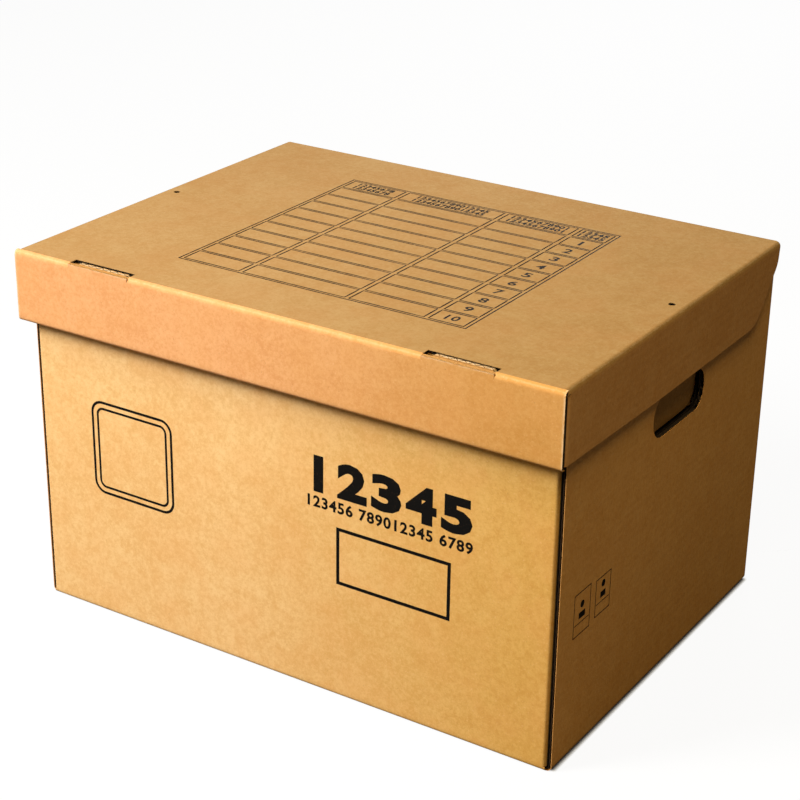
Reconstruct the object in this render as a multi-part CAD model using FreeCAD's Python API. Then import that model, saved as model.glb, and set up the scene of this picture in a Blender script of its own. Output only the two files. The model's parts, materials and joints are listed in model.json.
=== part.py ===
import FreeCAD, Part
import os
import math

Vec = FreeCAD.Vector

# Archive box of corrugated board, folded from one sheet, in millimetres.
# X runs across the front, -Y is the front and +Z is up. The origin is on the underside,
# at the middle of the closed box. Every panel between two creases is a piece of its own.

# The box over its walls, and the closed height with the lid on.
body_width = 430.0
body_depth = 317.0
closed_height = 277.0

# The board. The gap is the air between layers folded together, and is also the inside
# radius of every crease.
board = 3.2
layer_gap = 0.3

# Play of the closed lid over the box.
lid_side_play = 0.3
lid_front_play = 0.8
lid_top_play = 0.3

# Lid walls, measured down from the top of the lid.
lid_front_height = 50.0
lid_flap_height = 53.0

# Rear end of a lid side flap: how far it stands in from the rear wall at the top, at the
# bend of its edge and at its lower edge, and how far down the bend lies.
flap_top_setback = 4.0
flap_bend_setback = 7.5
flap_bend_drop = 16.0
flap_foot_setback = 39.5
flap_foot_radius = 24.0

# Hand hole in each side wall, just below the lid's flap. Its middle is behind the middle
# of the box's depth.
hand_hole_length = 79.0
hand_hole_height = 31.0
hand_hole_radius = 14.5
hand_hole_below_flap = 3.5
hand_hole_behind_middle = 5.0
hand_hole_cut = 0.4

# Corner tabs folded back into the double walls. They stop short of the hand hole, and in
# the lid short of the slot.
front_tab_to_hole = 8.5
rear_tab_to_hole = 6.5
lid_tab_to_slot = 1.5
tab_relief = 1.0

# Locking tabs of the inner side walls in the bottom's slots.
lock_length = 50.0
lock_spacing = 160.0
lock_end_play = 0.6
lock_lift = 0.3

# Slots at the lid's front crease, in from the sides of the box, and the tabs of the inner
# front panel that stand in them with some play at each end.
lid_slot_length = 52.5
lid_slot_inset = 45.5
lid_slot_rear_step = 0.6
lid_slot_lip_drop = 0.4
lid_tab_play_left = 4.25
lid_tab_play_right = 1.25
lid_tab_root = 15.0
lid_tab_drop = 0.3
lid_tab_chamfer = 2.6
lid_tab_lean_left = 3.0
lid_tab_lean_right = 1.8

# Pinholes through the top of the lid, by its side creases.
pinhole_radius = 1.6
pinhole_inset = 11.0
pinhole_behind_front = 166.0

# Rounding of the lid's rear edge at its crease.
lid_rear_round = 2.4

# Sizes that follow from the ones above.
fold = board + layer_gap
double_wall = 3 * board + 2 * layer_gap
overall_depth = body_depth + lid_front_play + double_wall

rear_y = overall_depth / 2
lid_front_y = -overall_depth / 2
body_front_y = rear_y - body_depth
side_x = body_width / 2
wall_top = closed_height - board - lid_top_play

# Layers of a double side wall, each given by its outer face.
tab_x = side_x - board - layer_gap
inner_x = tab_x - board - layer_gap

# Layers of the lid's double front, each given by its outer face.
lid_tab_y = lid_front_y + board + layer_gap
lid_inner_y = lid_tab_y + board + layer_gap

lid_x = side_x + lid_side_play + board
lid_under = closed_height - board
lid_foot = closed_height - lid_front_height
hole_top = closed_height - lid_flap_height - hand_hole_below_flap
hole_middle_y = (body_front_y + rear_y) / 2 + hand_hole_behind_middle

# A slot reaches back to just short of the inner front panel's inner face.
lid_slot_depth = double_wall - lid_slot_rear_step
lid_slot_middle = side_x - lid_slot_inset - lid_slot_length / 2


def across(y):
    """Places (x, z) points in the upright plane that faces the front."""
    return lambda p: Vec(p.x, y, p.y)


def along(x):
    """Places (y, z) points in the upright plane that faces the side."""
    return lambda p: Vec(x, p.x, p.y)


def level(z):
    """Places (x, y) points in a level plane."""
    return lambda p: Vec(p.x, p.y, z)


def add_line(edges, start, end, place):
    """Adds a straight edge, unless its two ends are one point."""
    if start.distanceToPoint(end) > 1e-6:
        edges.append(Part.makeLine(place(start), place(end)))


def add_arc(edges, start, middle, end, place):
    edges.append(Part.Arc(place(start), place(middle), place(end)).toShape())


def plate(corners, place, sweep):
    """Flat piece whose outline has corners (u, v, radius), swept along a vector."""
    points = [Vec(u, v, 0) for u, v, radius in corners]
    starts = []
    middles = []
    ends = []
    for number, point in enumerate(points):
        back = (points[number - 1] - point).normalize()
        onward = (points[(number + 1) % len(points)] - point).normalize()
        radius = corners[number][2]
        half_angle = back.getAngle(onward) / 2
        reach = radius / math.tan(half_angle)
        bisector = (back + onward).normalize()
        starts.append(point + back * reach)
        middles.append(point + bisector * (radius / math.sin(half_angle) - radius))
        ends.append(point + onward * reach)
    edges = []
    for number, corner in enumerate(corners):
        add_line(edges, ends[number - 1], starts[number], place)
        if corner[2] > 0:
            add_arc(edges, starts[number], middles[number], ends[number], place)
    return Part.Face(Part.Wire(edges)).extrude(sweep)


def block(x0, x1, y0, y1, z0, z1):
    return Part.makeBox(x1 - x0, y1 - y0, z1 - z0, Vec(x0, y0, z0))


def folded_board(corners, place, sweep):
    """Board with a crease at each corner of the (u, v) line that its outer face follows.

    All the turns are square and go the same way, and the board lies inside them.
    """
    points = [Vec(u, v, 0) for u, v in corners]
    ways = [(end - start).normalize() for start, end in zip(points, points[1:])]
    turn = math.copysign(1, ways[0].cross(ways[1]).z)
    inwards = [Vec(-turn * way.y, turn * way.x, 0) for way in ways]
    edges = []
    inner_arcs = []
    here = points[0]
    for number, corner in enumerate(points[1:-1]):
        start = corner - ways[number] * fold
        end = corner + ways[number + 1] * fold
        centre = start + inwards[number] * fold
        outwards = (corner - centre).normalize()
        add_line(edges, here, start, place)
        add_arc(edges, start, centre + outwards * fold, end, place)
        here = end
        inner_arcs.append((end + inwards[number + 1] * board,
                           centre + outwards * layer_gap,
                           start + inwards[number] * board))
    add_line(edges, here, points[-1], place)
    here = points[-1] + inwards[-1] * board
    add_line(edges, points[-1], here, place)
    for start, middle, end in reversed(inner_arcs):
        add_line(edges, here, start, place)
        add_arc(edges, start, middle, end, place)
        here = end
    add_line(edges, here, points[0] + inwards[0] * board, place)
    add_line(edges, points[0] + inwards[0] * board, points[0], place)
    return Part.Face(Part.Wire(edges)).extrude(sweep)


def mirrored(shape):
    """The same piece on the left side."""
    return shape.mirror(Vec(0, 0, 0), Vec(1, 0, 0))


def turned_to_rear(shape):
    """A piece of the front wall moved to the same place at the rear wall."""
    middle_y = (body_front_y + rear_y) / 2
    return shape.mirror(Vec(0, middle_y, 0), Vec(0, 1, 0))


# Box: bottom and walls

def bottom_panel():
    half_x = side_x - fold
    panel = block(-half_x, half_x, body_front_y + fold, rear_y - fold, 0, board)
    for side in (-1, 1):
        for row in (-1, 1):
            middle_y = (body_front_y + rear_y) / 2 + row * lock_spacing / 2
            half_y = lock_length / 2 + lock_end_play
            near_x = side * (inner_x + layer_gap)
            far_x = side * (inner_x - board - layer_gap)
            slot = block(min(near_x, far_x), max(near_x, far_x),
                         middle_y - half_y, middle_y + half_y, 0, board)
            panel = panel.cut(slot)
    return panel


def front_wall():
    # The upright panel with its bottom crease, then the creases that turn into the corner tabs.
    crease_half_x = tab_x - layer_gap
    lower = folded_board([(body_front_y + fold, 0), (body_front_y, 0), (body_front_y, fold)],
                         along(-crease_half_x), Vec(2 * crease_half_x, 0, 0))
    face_half_x = tab_x - fold
    face = block(-face_half_x, face_half_x, body_front_y, body_front_y + board, fold, wall_top)
    relief_z = fold + tab_relief
    corners = folded_board([(-tab_x, body_front_y + fold), (-tab_x, body_front_y),
                            (tab_x, body_front_y), (tab_x, body_front_y + fold)],
                           level(relief_z), Vec(0, 0, wall_top - relief_z))
    return lower.fuse([face, corners]).removeSplitter()


def corner_tab_right(start_y, end_y):
    return block(tab_x - board, tab_x, start_y, end_y,
                 fold + tab_relief, wall_top - board - layer_gap)


def front_corner_tab():
    hole_edge = hole_middle_y - hand_hole_length / 2
    return corner_tab_right(body_front_y + fold, hole_edge - front_tab_to_hole)


def rear_corner_tab():
    hole_edge = hole_middle_y + hand_hole_length / 2
    return corner_tab_right(hole_edge + rear_tab_to_hole, rear_y - fold)


def hand_hole(cut, upper_radius, x0, x1):
    """A prism of the hand hole across a stretch of X, drawn in by a cut's width.

    The upper edge, where the flap has its crease, is drawn in by half of that.
    """
    half_y = hand_hole_length / 2 - cut
    low = hole_top - hand_hole_height + cut
    high = hole_top - cut / 2
    radius = hand_hole_radius - cut
    corners = [(hole_middle_y - half_y, low, radius), (hole_middle_y + half_y, low, radius),
               (hole_middle_y + half_y, high, upper_radius),
               (hole_middle_y - half_y, high, upper_radius)]
    return plate(corners, along(x0), Vec(x1 - x0, 0, 0))


def side_outer_wall():
    wall = folded_board([(side_x - fold, 0), (side_x, 0), (side_x, wall_top - fold)],
                        across(body_front_y + layer_gap),
                        Vec(0, body_depth - 2 * layer_gap, 0))
    return wall.cut(hand_hole(0, hand_hole_radius, tab_x, side_x + board))


def side_rim_strip():
    inside_x = inner_x - board
    return folded_board([(side_x, wall_top - fold), (side_x, wall_top),
                         (inside_x, wall_top), (inside_x, wall_top - fold)],
                        across(body_front_y + fold), Vec(0, body_depth - 2 * fold, 0))


def side_inner_wall():
    inside_x = inner_x - board
    wall = block(inside_x, inner_x, body_front_y + fold, rear_y - fold,
                 board + layer_gap, wall_top - fold)
    locks = []
    for row in (-1, 1):
        middle_y = (body_front_y + rear_y) / 2 + row * lock_spacing / 2
        locks.append(block(inside_x, inner_x, middle_y - lock_length / 2,
                           middle_y + lock_length / 2, lock_lift, board + layer_gap))
    opening = hand_hole(0, 0, inside_x - board, side_x)
    return wall.fuse(locks).removeSplitter().cut(opening)


def hand_hole_flap():
    # It hangs in the opening of the inner wall, creased along its top.
    return hand_hole(hand_hole_cut, 0, inner_x - board, inner_x)


# Lid

def lid_slot_middles():
    """The slots' middles across the lid, left then right."""
    return (-lid_slot_middle, lid_slot_middle)


def lid_top_panel():
    half_x = lid_x - fold
    panel = block(-half_x, half_x, lid_front_y + fold, rear_y, lid_under, closed_height)
    rear_edges = [edge for edge in panel.Edges
                  if all(abs(v.Y - rear_y) < 1e-6 and abs(v.Z - closed_height) < 1e-6
                         for v in edge.Vertexes)]
    panel = panel.makeFillet(min(lid_rear_round, 0.9 * board), rear_edges)
    for middle_x in lid_slot_middles():
        panel = panel.cut(block(middle_x - lid_slot_length / 2, middle_x + lid_slot_length / 2,
                                lid_front_y, lid_front_y + lid_slot_depth,
                                lid_under - board, closed_height + board))
    for side in (-1, 1):
        hole = Part.makeCylinder(pinhole_radius, 3 * board,
                                 Vec(side * (lid_x - pinhole_inset),
                                     lid_front_y + pinhole_behind_front, lid_under - board))
        panel = panel.cut(hole)
    return panel


def lid_front_outer():
    wall = folded_board([(lid_front_y + fold, closed_height), (lid_front_y, closed_height),
                         (lid_front_y, lid_foot), (lid_front_y + fold, lid_foot)],
                        along(-lid_x), Vec(2 * lid_x, 0, 0))
    for middle_x in lid_slot_middles():
        x0 = middle_x - lid_slot_length / 2
        x1 = middle_x + lid_slot_length / 2
        crease = block(x0, x1, lid_front_y - board, lid_front_y + fold + board,
                       closed_height - fold, closed_height + board)
        lip = block(x0, x1, lid_front_y, lid_front_y + board,
                    closed_height - fold, closed_height - lid_slot_lip_drop)
        wall = wall.cut(crease).fuse(lip)
    return wall.removeSplitter()


def lid_front_edge_strip():
    half_x = lid_x - fold - layer_gap
    inside_y = lid_inner_y + board
    return folded_board([(lid_front_y + fold, lid_foot), (inside_y, lid_foot),
                         (inside_y, lid_foot + fold)],
                        along(-half_x), Vec(2 * half_x, 0, 0))


def lid_tab(x0, x1, lean):
    """A tab of the inner front panel that leans forward and stands up in its slot."""
    inside_y = lid_inner_y + board
    root_z = closed_height - lid_tab_root
    top_z = closed_height - lid_tab_drop
    neck_z = lid_under - layer_gap
    profile = [(lid_inner_y, root_z, 0), (inside_y, root_z, 0),
               (inside_y - lean, neck_z, 0), (inside_y - lean, top_z, 0),
               (lid_inner_y - lean, top_z, 0), (lid_inner_y - lean, neck_z, 0)]
    tab = plate(profile, along(x0), Vec(x1 - x0, 0, 0))
    outline = [(x0, root_z, 0), (x1, root_z, 0), (x1, neck_z, 0),
               (x1 - lid_tab_chamfer, top_z, 0), (x0 + lid_tab_chamfer, top_z, 0),
               (x0, neck_z, 0)]
    return tab.common(plate(outline, across(lid_front_y), Vec(0, 2 * double_wall, 0)))


def lid_front_inner():
    half_x = lid_x - fold - layer_gap
    top_z = lid_under - layer_gap
    root_z = closed_height - lid_tab_root
    inside_y = lid_inner_y + board
    panel = block(-half_x, half_x, lid_inner_y, inside_y, lid_foot + fold, top_z)
    tabs = []
    for slot_x, lean in zip(lid_slot_middles(), (lid_tab_lean_left, lid_tab_lean_right)):
        x0 = slot_x - lid_slot_length / 2 + lid_tab_play_left
        x1 = slot_x + lid_slot_length / 2 - lid_tab_play_right
        panel = panel.cut(block(x0 - layer_gap, x1 + layer_gap,
                                lid_inner_y - board, inside_y + board, root_z, top_z + board))
        tabs.append(lid_tab(x0, x1, lean))
    return panel.fuse(tabs).removeSplitter()


def lid_side_flap():
    flap_foot = closed_height - lid_flap_height
    wall = folded_board([(lid_x - fold, closed_height), (lid_x, closed_height),
                         (lid_x, flap_foot)],
                        across(lid_front_y), Vec(0, overall_depth, 0))
    high = closed_height + board
    outline = [(lid_tab_y + fold, flap_foot - board, 0), (rear_y, flap_foot - board, 0),
               (rear_y, high, 0), (lid_front_y + fold, high, 0),
               (lid_front_y + fold, closed_height - fold, 0),
               (lid_tab_y + fold, closed_height - fold, 0)]
    wall = wall.common(plate(outline, along(lid_x - 2 * fold), Vec(3 * fold, 0, 0)))
    slant = (flap_foot_setback - flap_bend_setback) / (lid_flap_height - flap_bend_drop)
    past_foot = flap_foot_setback + slant * board
    rear_cut = [(rear_y + board, flap_foot - board, 0), (rear_y + board, high, 0),
                (rear_y - flap_top_setback, high, 0),
                (rear_y - flap_bend_setback, closed_height - flap_bend_drop, 0),
                (rear_y - past_foot, flap_foot - board, 0)]
    wall = wall.cut(plate(rear_cut, along(lid_x - 2 * fold), Vec(3 * fold, 0, 0)))
    foot_edges = [edge for edge in wall.Edges
                  if all(abs(v.Z - flap_foot) < 1e-6 and v.Y > 0 for v in edge.Vertexes)
                  and abs(edge.Length - board) < 1e-6]
    wall = wall.makeFillet(flap_foot_radius, foot_edges)
    corner = folded_board([(lid_x - fold, lid_tab_y), (lid_x, lid_tab_y),
                           (lid_x, lid_tab_y + fold)],
                          level(flap_foot), Vec(0, 0, lid_under - layer_gap - flap_foot))
    return wall.fuse(corner).removeSplitter()


def lid_corner_tab_right():
    slot_end = lid_slot_middle + lid_slot_length / 2
    return block(slot_end + lid_tab_to_slot, lid_x - fold, lid_tab_y, lid_tab_y + board,
                 lid_foot + board + layer_gap, lid_under - layer_gap)


def build():
    """All the pieces, each under its own name."""
    front = front_wall()
    pieces = {
        "bottom_panel": bottom_panel(),
        "front_wall": front,
        "rear_wall": turned_to_rear(front),
        "lid_top_panel": lid_top_panel(),
        "lid_front_outer": lid_front_outer(),
        "lid_front_edge_strip": lid_front_edge_strip(),
        "lid_front_inner": lid_front_inner(),
    }
    right_side = {
        "front_corner_tab": front_corner_tab(),
        "rear_corner_tab": rear_corner_tab(),
        "side_outer_wall": side_outer_wall(),
        "side_rim_strip": side_rim_strip(),
        "side_inner_wall": side_inner_wall(),
        "hand_hole_flap": hand_hole_flap(),
        "lid_side_flap": lid_side_flap(),
        "lid_corner_tab": lid_corner_tab_right(),
    }
    for name, shape in right_side.items():
        pieces[name + "_right"] = shape
        pieces[name + "_left"] = mirrored(shape)
    return pieces


os.makedirs("parts", exist_ok=True)
for name, shape in build().items():
    shape.exportStep("parts/" + name + ".step")
    box = shape.BoundBox
    print("%-26s solids %d valid %s volume %9.0f  x %7.1f %7.1f  y %7.1f %7.1f  z %6.1f %6.1f"
          % (name, len(shape.Solids), shape.isValid(), shape.Volume,
             box.XMin, box.XMax, box.YMin, box.YMax, box.ZMin, box.ZMax))
print("over all: %.1f x %.1f x %.1f mm" % (2 * lid_x, overall_depth, closed_height))
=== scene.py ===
# %% [markdown]
# An archive box of corrugated board: one die-cut sheet, folded into a box with double side
# walls, hand holes and a hinged lid whose front tucks into two slots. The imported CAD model
# gives every panel's place. Here each panel is made again as real corrugated board, two
# paper liners with a wavy sheet between them, because its cut edges show.

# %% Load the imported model
import json
import math

import bmesh
import bpy
import numpy as np
from mathutils import Matrix, Vector
from mathutils.geometry import delaunay_2d_cdt

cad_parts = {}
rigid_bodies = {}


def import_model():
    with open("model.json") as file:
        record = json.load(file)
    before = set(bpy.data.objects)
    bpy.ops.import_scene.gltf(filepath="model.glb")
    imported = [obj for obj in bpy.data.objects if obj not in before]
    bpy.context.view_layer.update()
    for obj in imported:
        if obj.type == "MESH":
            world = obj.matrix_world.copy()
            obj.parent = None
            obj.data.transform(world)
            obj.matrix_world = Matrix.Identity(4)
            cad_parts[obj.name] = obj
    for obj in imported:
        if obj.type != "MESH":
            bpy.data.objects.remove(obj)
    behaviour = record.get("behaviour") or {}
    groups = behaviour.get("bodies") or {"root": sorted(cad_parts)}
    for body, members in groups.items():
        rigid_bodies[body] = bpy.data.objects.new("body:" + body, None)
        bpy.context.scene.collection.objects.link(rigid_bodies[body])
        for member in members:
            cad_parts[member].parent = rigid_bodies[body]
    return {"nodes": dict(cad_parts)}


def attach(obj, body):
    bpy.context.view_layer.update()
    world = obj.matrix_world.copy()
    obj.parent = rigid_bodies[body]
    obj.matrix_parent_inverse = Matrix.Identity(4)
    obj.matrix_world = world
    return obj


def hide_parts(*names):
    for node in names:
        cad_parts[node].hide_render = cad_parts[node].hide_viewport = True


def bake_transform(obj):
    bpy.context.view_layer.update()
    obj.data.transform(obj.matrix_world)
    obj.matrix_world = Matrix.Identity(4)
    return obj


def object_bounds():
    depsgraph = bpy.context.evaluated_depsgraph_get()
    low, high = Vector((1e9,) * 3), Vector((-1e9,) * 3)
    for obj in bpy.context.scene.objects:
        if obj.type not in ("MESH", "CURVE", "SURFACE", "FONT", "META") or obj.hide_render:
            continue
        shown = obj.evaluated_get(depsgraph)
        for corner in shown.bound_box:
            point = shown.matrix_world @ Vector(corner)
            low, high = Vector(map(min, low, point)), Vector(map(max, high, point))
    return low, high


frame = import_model()
cad_low, cad_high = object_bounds()
print("nodes:", len(frame["nodes"]))

# %% [markdown]
# The sizes that all pieces share come from the CAD model's outer box, which is the lid's.
# The box's own walls stand inside it: one board and a little air at the sides, the lid's
# double wall and some play at the front, and nothing at the rear, where box and lid are one
# board. TAB_X is where the corner tabs' outer faces stand, INNER_X where the hidden faces of
# the inner side walls do, and at LID_X the lid's side creases begin. Sizes are in mm here, and
# become metres only when a mesh is made. At a fold the outer face runs around a quarter
# circle, which takes an arc's length of board.

# %% Sizes that all pieces share
MM = 0.001
BOARD = 3.2
AIR = 0.3
FOLD = BOARD + AIR
ARC = FOLD * math.pi / 2
LID_PLAY = 0.8
LID_SIDE, REAR, LID_TOP = [round(edge / MM, 1) for edge in cad_high]
LID_FRONT = round(cad_low[1] / MM, 1)
SIDE = round(LID_SIDE - AIR - BOARD, 1)
FRONT = round(LID_FRONT + 2 * FOLD + BOARD + LID_PLAY, 1)
MIDDLE_Y = (FRONT + REAR) / 2
WALL_TOP = LID_TOP - FOLD
TAB_X = SIDE - FOLD
INNER_X = TAB_X - FOLD
LID_X = LID_SIDE - FOLD
print("box: %.1f x %.1f mm, lid: %.1f mm high" % (2 * SIDE, REAR - FRONT, LID_TOP))
print("a crease takes %.1f mm of board" % ARC)

# %% [markdown]
# The camera stands where the photograph was taken from. Its place and turn were worked out
# from the box's corners. A lens given in pixels becomes millimetres on a 36 mm sensor.

# %% Camera
PHOTO_PIXELS = 800
FOCAL_PIXELS = 1955.2
CAMERA_PLACE = Vector((702.0, -1107.2, 740.1)) * MM
CAMERA_AZIMUTH = math.radians(32.431)
CAMERA_ELEVATION = math.radians(23.988)
CAMERA_ROLL = math.radians(0.832)


def camera_turn(azimuth, elevation, roll):
    """Rows of right, up and backwards, for a camera that looks at the box."""
    ahead = Vector((-math.sin(azimuth) * math.cos(elevation),
                    math.cos(azimuth) * math.cos(elevation), -math.sin(elevation)))
    level = Vector((math.cos(azimuth), math.sin(azimuth), 0))
    right = math.cos(roll) * level + math.sin(roll) * level.cross(ahead)
    return Matrix((right, right.cross(ahead), -ahead)).transposed()


camera = bpy.data.objects.new("camera", bpy.data.cameras.new("camera"))
camera.data.sensor_width = 36
camera.data.lens = FOCAL_PIXELS / PHOTO_PIXELS * camera.data.sensor_width
turn = camera_turn(CAMERA_AZIMUTH, CAMERA_ELEVATION, CAMERA_ROLL)
camera.matrix_world = Matrix.Translation(CAMERA_PLACE) @ turn.to_4x4()
bpy.context.scene.collection.objects.link(camera)
bpy.context.scene.camera = camera
bpy.context.scene.view_settings.view_transform = "Standard"
print("lens: %.1f mm" % camera.data.lens)

# %% [markdown]
# Shader patterns are sums, so they are written as sums. Wire wraps one output of a shader
# node, and each operator on it adds a Math node.

# %% Shader maths
class Wire:
    """An output socket that can be added, taken away, multiplied and so on."""

    def __init__(self, bench, socket):
        self.bench = bench
        self.socket = socket

    def maths(self, operation, *values):
        return self.bench.node("ShaderNodeMath", {"operation": operation}, *values)

    def __add__(self, other):
        return self.maths("ADD", self, other)

    def __radd__(self, other):
        return self.maths("ADD", other, self)

    def __sub__(self, other):
        return self.maths("SUBTRACT", self, other)

    def __rsub__(self, other):
        return self.maths("SUBTRACT", other, self)

    def __mul__(self, other):
        return self.maths("MULTIPLY", self, other)

    def __abs__(self):
        return self.maths("ABSOLUTE", self)

    def least(self, other):
        return self.maths("MINIMUM", self, other)

    def most(self, other):
        return self.maths("MAXIMUM", self, other)

    def sine(self):
        return self.maths("SINE", self)

    def ramp(self, low, high, to_low=0.0, to_high=1.0):
        """A smooth step of the value from low to high."""
        return self.bench.node("ShaderNodeMapRange", {"interpolation_type": "SMOOTHSTEP"},
                               self, low, high, to_low, to_high)


print("a wire's sums are ready")

# %% [markdown]
# Bench holds one material's node tree. Its node method makes any kind of node in one line, and
# the others stand for nodes that most materials need.

# %% A material's bench
class Bench:
    """A material's node tree."""

    def __init__(self, name):
        self.material = bpy.data.materials.new(name)
        self.material.use_nodes = True
        self.tree = self.material.node_tree
        self.shader = self.tree.nodes["Principled BSDF"]

    def node(self, kind, settings, *values, output=0, **named):
        """Adds a node, sets it up, feeds its inputs and gives one of its outputs."""
        made = self.tree.nodes.new(kind)
        for key, value in settings.items():
            setattr(made, key, value)
        wanted = list(zip(made.inputs, values))
        wanted += [(made.inputs[key.replace("_", " ")], value) for key, value in named.items()]
        for socket, value in wanted:
            self.feed(socket, value)
        return Wire(self, made.outputs[output])

    def feed(self, socket, value):
        if isinstance(value, Wire):
            self.tree.links.new(value.socket, socket)
        else:
            socket.default_value = value

    def place(self):
        """The point of the object that is being shaded."""
        return self.node("ShaderNodeTexCoord", {}, output="Object")

    def millimetres(self, place):
        """The three coordinates of a place, each in mm."""
        return [self.node("ShaderNodeSeparateXYZ", {}, place, output=k) * 1000
                for k in range(3)]

    def noise(self, place, scale, detail=2.0, roughness=0.5):
        return self.node("ShaderNodeTexNoise", {}, Vector=place, Scale=scale, Detail=detail,
                         Roughness=roughness)

    def stretched(self, place, scale):
        return self.node("ShaderNodeMapping", {}, Vector=place, Scale=scale)

    def mix(self, factor, first, second):
        """A colour between two others."""
        made = self.tree.nodes.new("ShaderNodeMix")
        made.data_type = "RGBA"
        for socket, value in ((made.inputs["Factor"], factor), (made.inputs[6], first),
                              (made.inputs[7], second)):
            self.feed(socket, value)
        return Wire(self, made.outputs[2])

    def finish(self, colour, roughness, height=None, distance=0.0001):
        self.feed(self.shader.inputs["Base Color"], colour)
        self.feed(self.shader.inputs["Roughness"], roughness)
        if height is not None:
            bump = self.node("ShaderNodeBump", {}, Strength=1.0, Distance=distance,
                             Height=height)
            self.feed(self.shader.inputs["Normal"], bump)
        return self.material


print("a material's bench is ready")

# %% [markdown]
# On a box, paper is scuffed along the creases. A shader doesn't know where an edge is, but
# a box is simple enough to work it out: of the distances from a point to the nearest face
# along X, Y and Z, the smallest is that of the face the point lies on, and the middle one is
# the distance to the nearest edge. Such a box, here called a shell, is longer than the real
# walls where they end in a cut edge, because only creases are scuffed.

# %% Distance to an edge
BOX_SHELL = (SIDE, FRONT, REAR, 0, 400)
LID_SHELL = (LID_SIDE, LID_FRONT, REAR, 100, LID_TOP)


def middle_of(a, b, c):
    return a.least(b).most(a.most(b).least(c))


def edge_distance(bench, place, shell):
    """Distance in mm to the nearest edge of a box of (half width, front, rear, low, high)."""
    x, y, z = bench.millimetres(place)
    half_width, front, rear, low, high = shell
    side = half_width - abs(x)
    depth = (y - front).least(rear - y)
    level = (z - low).least(high - z)
    return middle_of(abs(side), abs(depth), abs(level))


print("shells in mm: box", BOX_SHELL, "lid", LID_SHELL)

# %% [markdown]
# Kraft liner is brown paper. Close up it has fine mottling, a few pale fibres and dark
# specks, and from further off soft blotches and a large cloudiness. All of it is noise of
# different sizes on Object coordinates, so the pattern runs on from panel to panel as it
# does on one sheet. The tints of spots and rubbed creases were chosen on a paper whose red is
# TINTED_ON, and are scaled to the panel's own paper, or dark panels would look spotted. Each
# kind of spot has a stretch, its noise's scale and detail, the values between which it fades
# in, how strong it gets, and its tint. A very low bump with the pitch of the flutes lets
# them show through the liner.

# %% Kraft paper
FLUTE_PITCH = 6.4
PAPER_SHEEN = 0.12
PAPER_NOISE = {"cloud": (13, 3, 0.5), "blotch": (85, 3, 0.6), "mottle": (330, 3, 0.7),
               "grain": (820, 2, 0.6)}
SHADE_SHARES = {"cloud": 0.55, "blotch": 0.9, "mottle": 1.35, "grain": 0.8}
SHADE_RANGE = (0.08, 0.92)
BUMP_SHARES = {"grain": 0.5, "mottle": 0.8, "blotch": 0.5}
RIB_SHARE = 0.12
BUMP_DEPTH = 0.00012
TINTED_ON = 0.92
WARM = ((1, 1, 1), (34, 2), (0.35, 0.7), 0.2, (0.84, 0.40, 0.13))
FIBRE = ((1, 0.4, 1), (700, 2), (0.62, 0.72), 0.16, (1.0, 0.70, 0.40))
SPECK = ((1, 1, 1), (900, 1), (0.72, 0.79), 0.28, (0.30, 0.14, 0.045))
# Painted falloff of the key's light: where a paper turns browner towards the box's right end.
PAINTED_FALLOFF_SPAN = (-70, 225)
PAINTED_FALLOFF_WANDER = 60
RUBBED_TINT = (0.98, 0.72, 0.43)
SCUFF_WIDTH = 1.8
WORN_NOISE = (150, 4, 0.7)
WORN_RANGE = (0.3, 0.62)
WANDER = 5


def rgba(red, green, blue):
    return (red, green, blue, 1.0)


def kraft(name, colours, shell, right=None, scuff=0.55, crease=None):
    """Kraft liner between a pale and a deep colour, browner towards the box's right end as a
    painted falloff of the key's light, and the lid top's painted shade at its top creases."""
    bench = Bench(name)
    place = bench.place()
    noise = {kind: bench.noise(place, *sizes) for kind, sizes in PAPER_NOISE.items()}
    shade = 0.5
    for kind, share in SHADE_SHARES.items():
        shade = shade + (noise[kind] - 0.5) * share

    def paper(pair):
        return bench.mix(shade.ramp(*SHADE_RANGE), rgba(*pair[0]), rgba(*pair[1]))

    def tinted(colour, amount, tint):
        return bench.mix(amount, colour, rgba(*(part * colours[0][0] / TINTED_ON
                                                for part in tint)))

    colour = paper(colours)
    x, y, z = bench.millimetres(place)
    # Painted falloff of the key's light: the paper turns browner towards the box's right end.
    if right:
        painted_falloff = (x + (noise["cloud"] - 0.5) * PAINTED_FALLOFF_WANDER).ramp(*PAINTED_FALLOFF_SPAN)
        colour = bench.mix(painted_falloff, colour, paper(right))
    # Painted shade: at the lid's top creases the flaps take the lid top's darker paper.
    if crease:
        painted_crease_shade = z.ramp(LID_TOP - 5, LID_TOP - 1)
        colour = bench.mix(painted_crease_shade, colour, paper(crease))
    for stretch, sizes, fade, most, tint in (WARM, FIBRE, SPECK):
        spots = bench.noise(bench.stretched(place, stretch), *sizes).ramp(*fade) * most
        colour = tinted(colour, spots, tint)
    worn = bench.noise(place, *WORN_NOISE)
    distance = edge_distance(bench, place, shell) + (worn - 0.5) * WANDER
    rubbed = distance.ramp(0.2, SCUFF_WIDTH, 1.0, 0.0) * worn.ramp(*WORN_RANGE) * scuff
    colour = tinted(colour, rubbed, RUBBED_TINT)
    across = bench.node("ShaderNodeAttribute", {"attribute_name": "across"}, output="Fac")
    height = (across * (2 * math.pi * 1000 / FLUTE_PITCH)).sine() * RIB_SHARE
    for kind, share in BUMP_SHARES.items():
        height = height + noise[kind] * share
    roughness = 0.8 + (noise["mottle"] - 0.5) * 0.25
    bench.shader.inputs["Specular IOR Level"].default_value = PAPER_SHEEN
    return bench.finish(colour, roughness, height, BUMP_DEPTH)


print("noises on the paper:", list(PAPER_NOISE))
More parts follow.
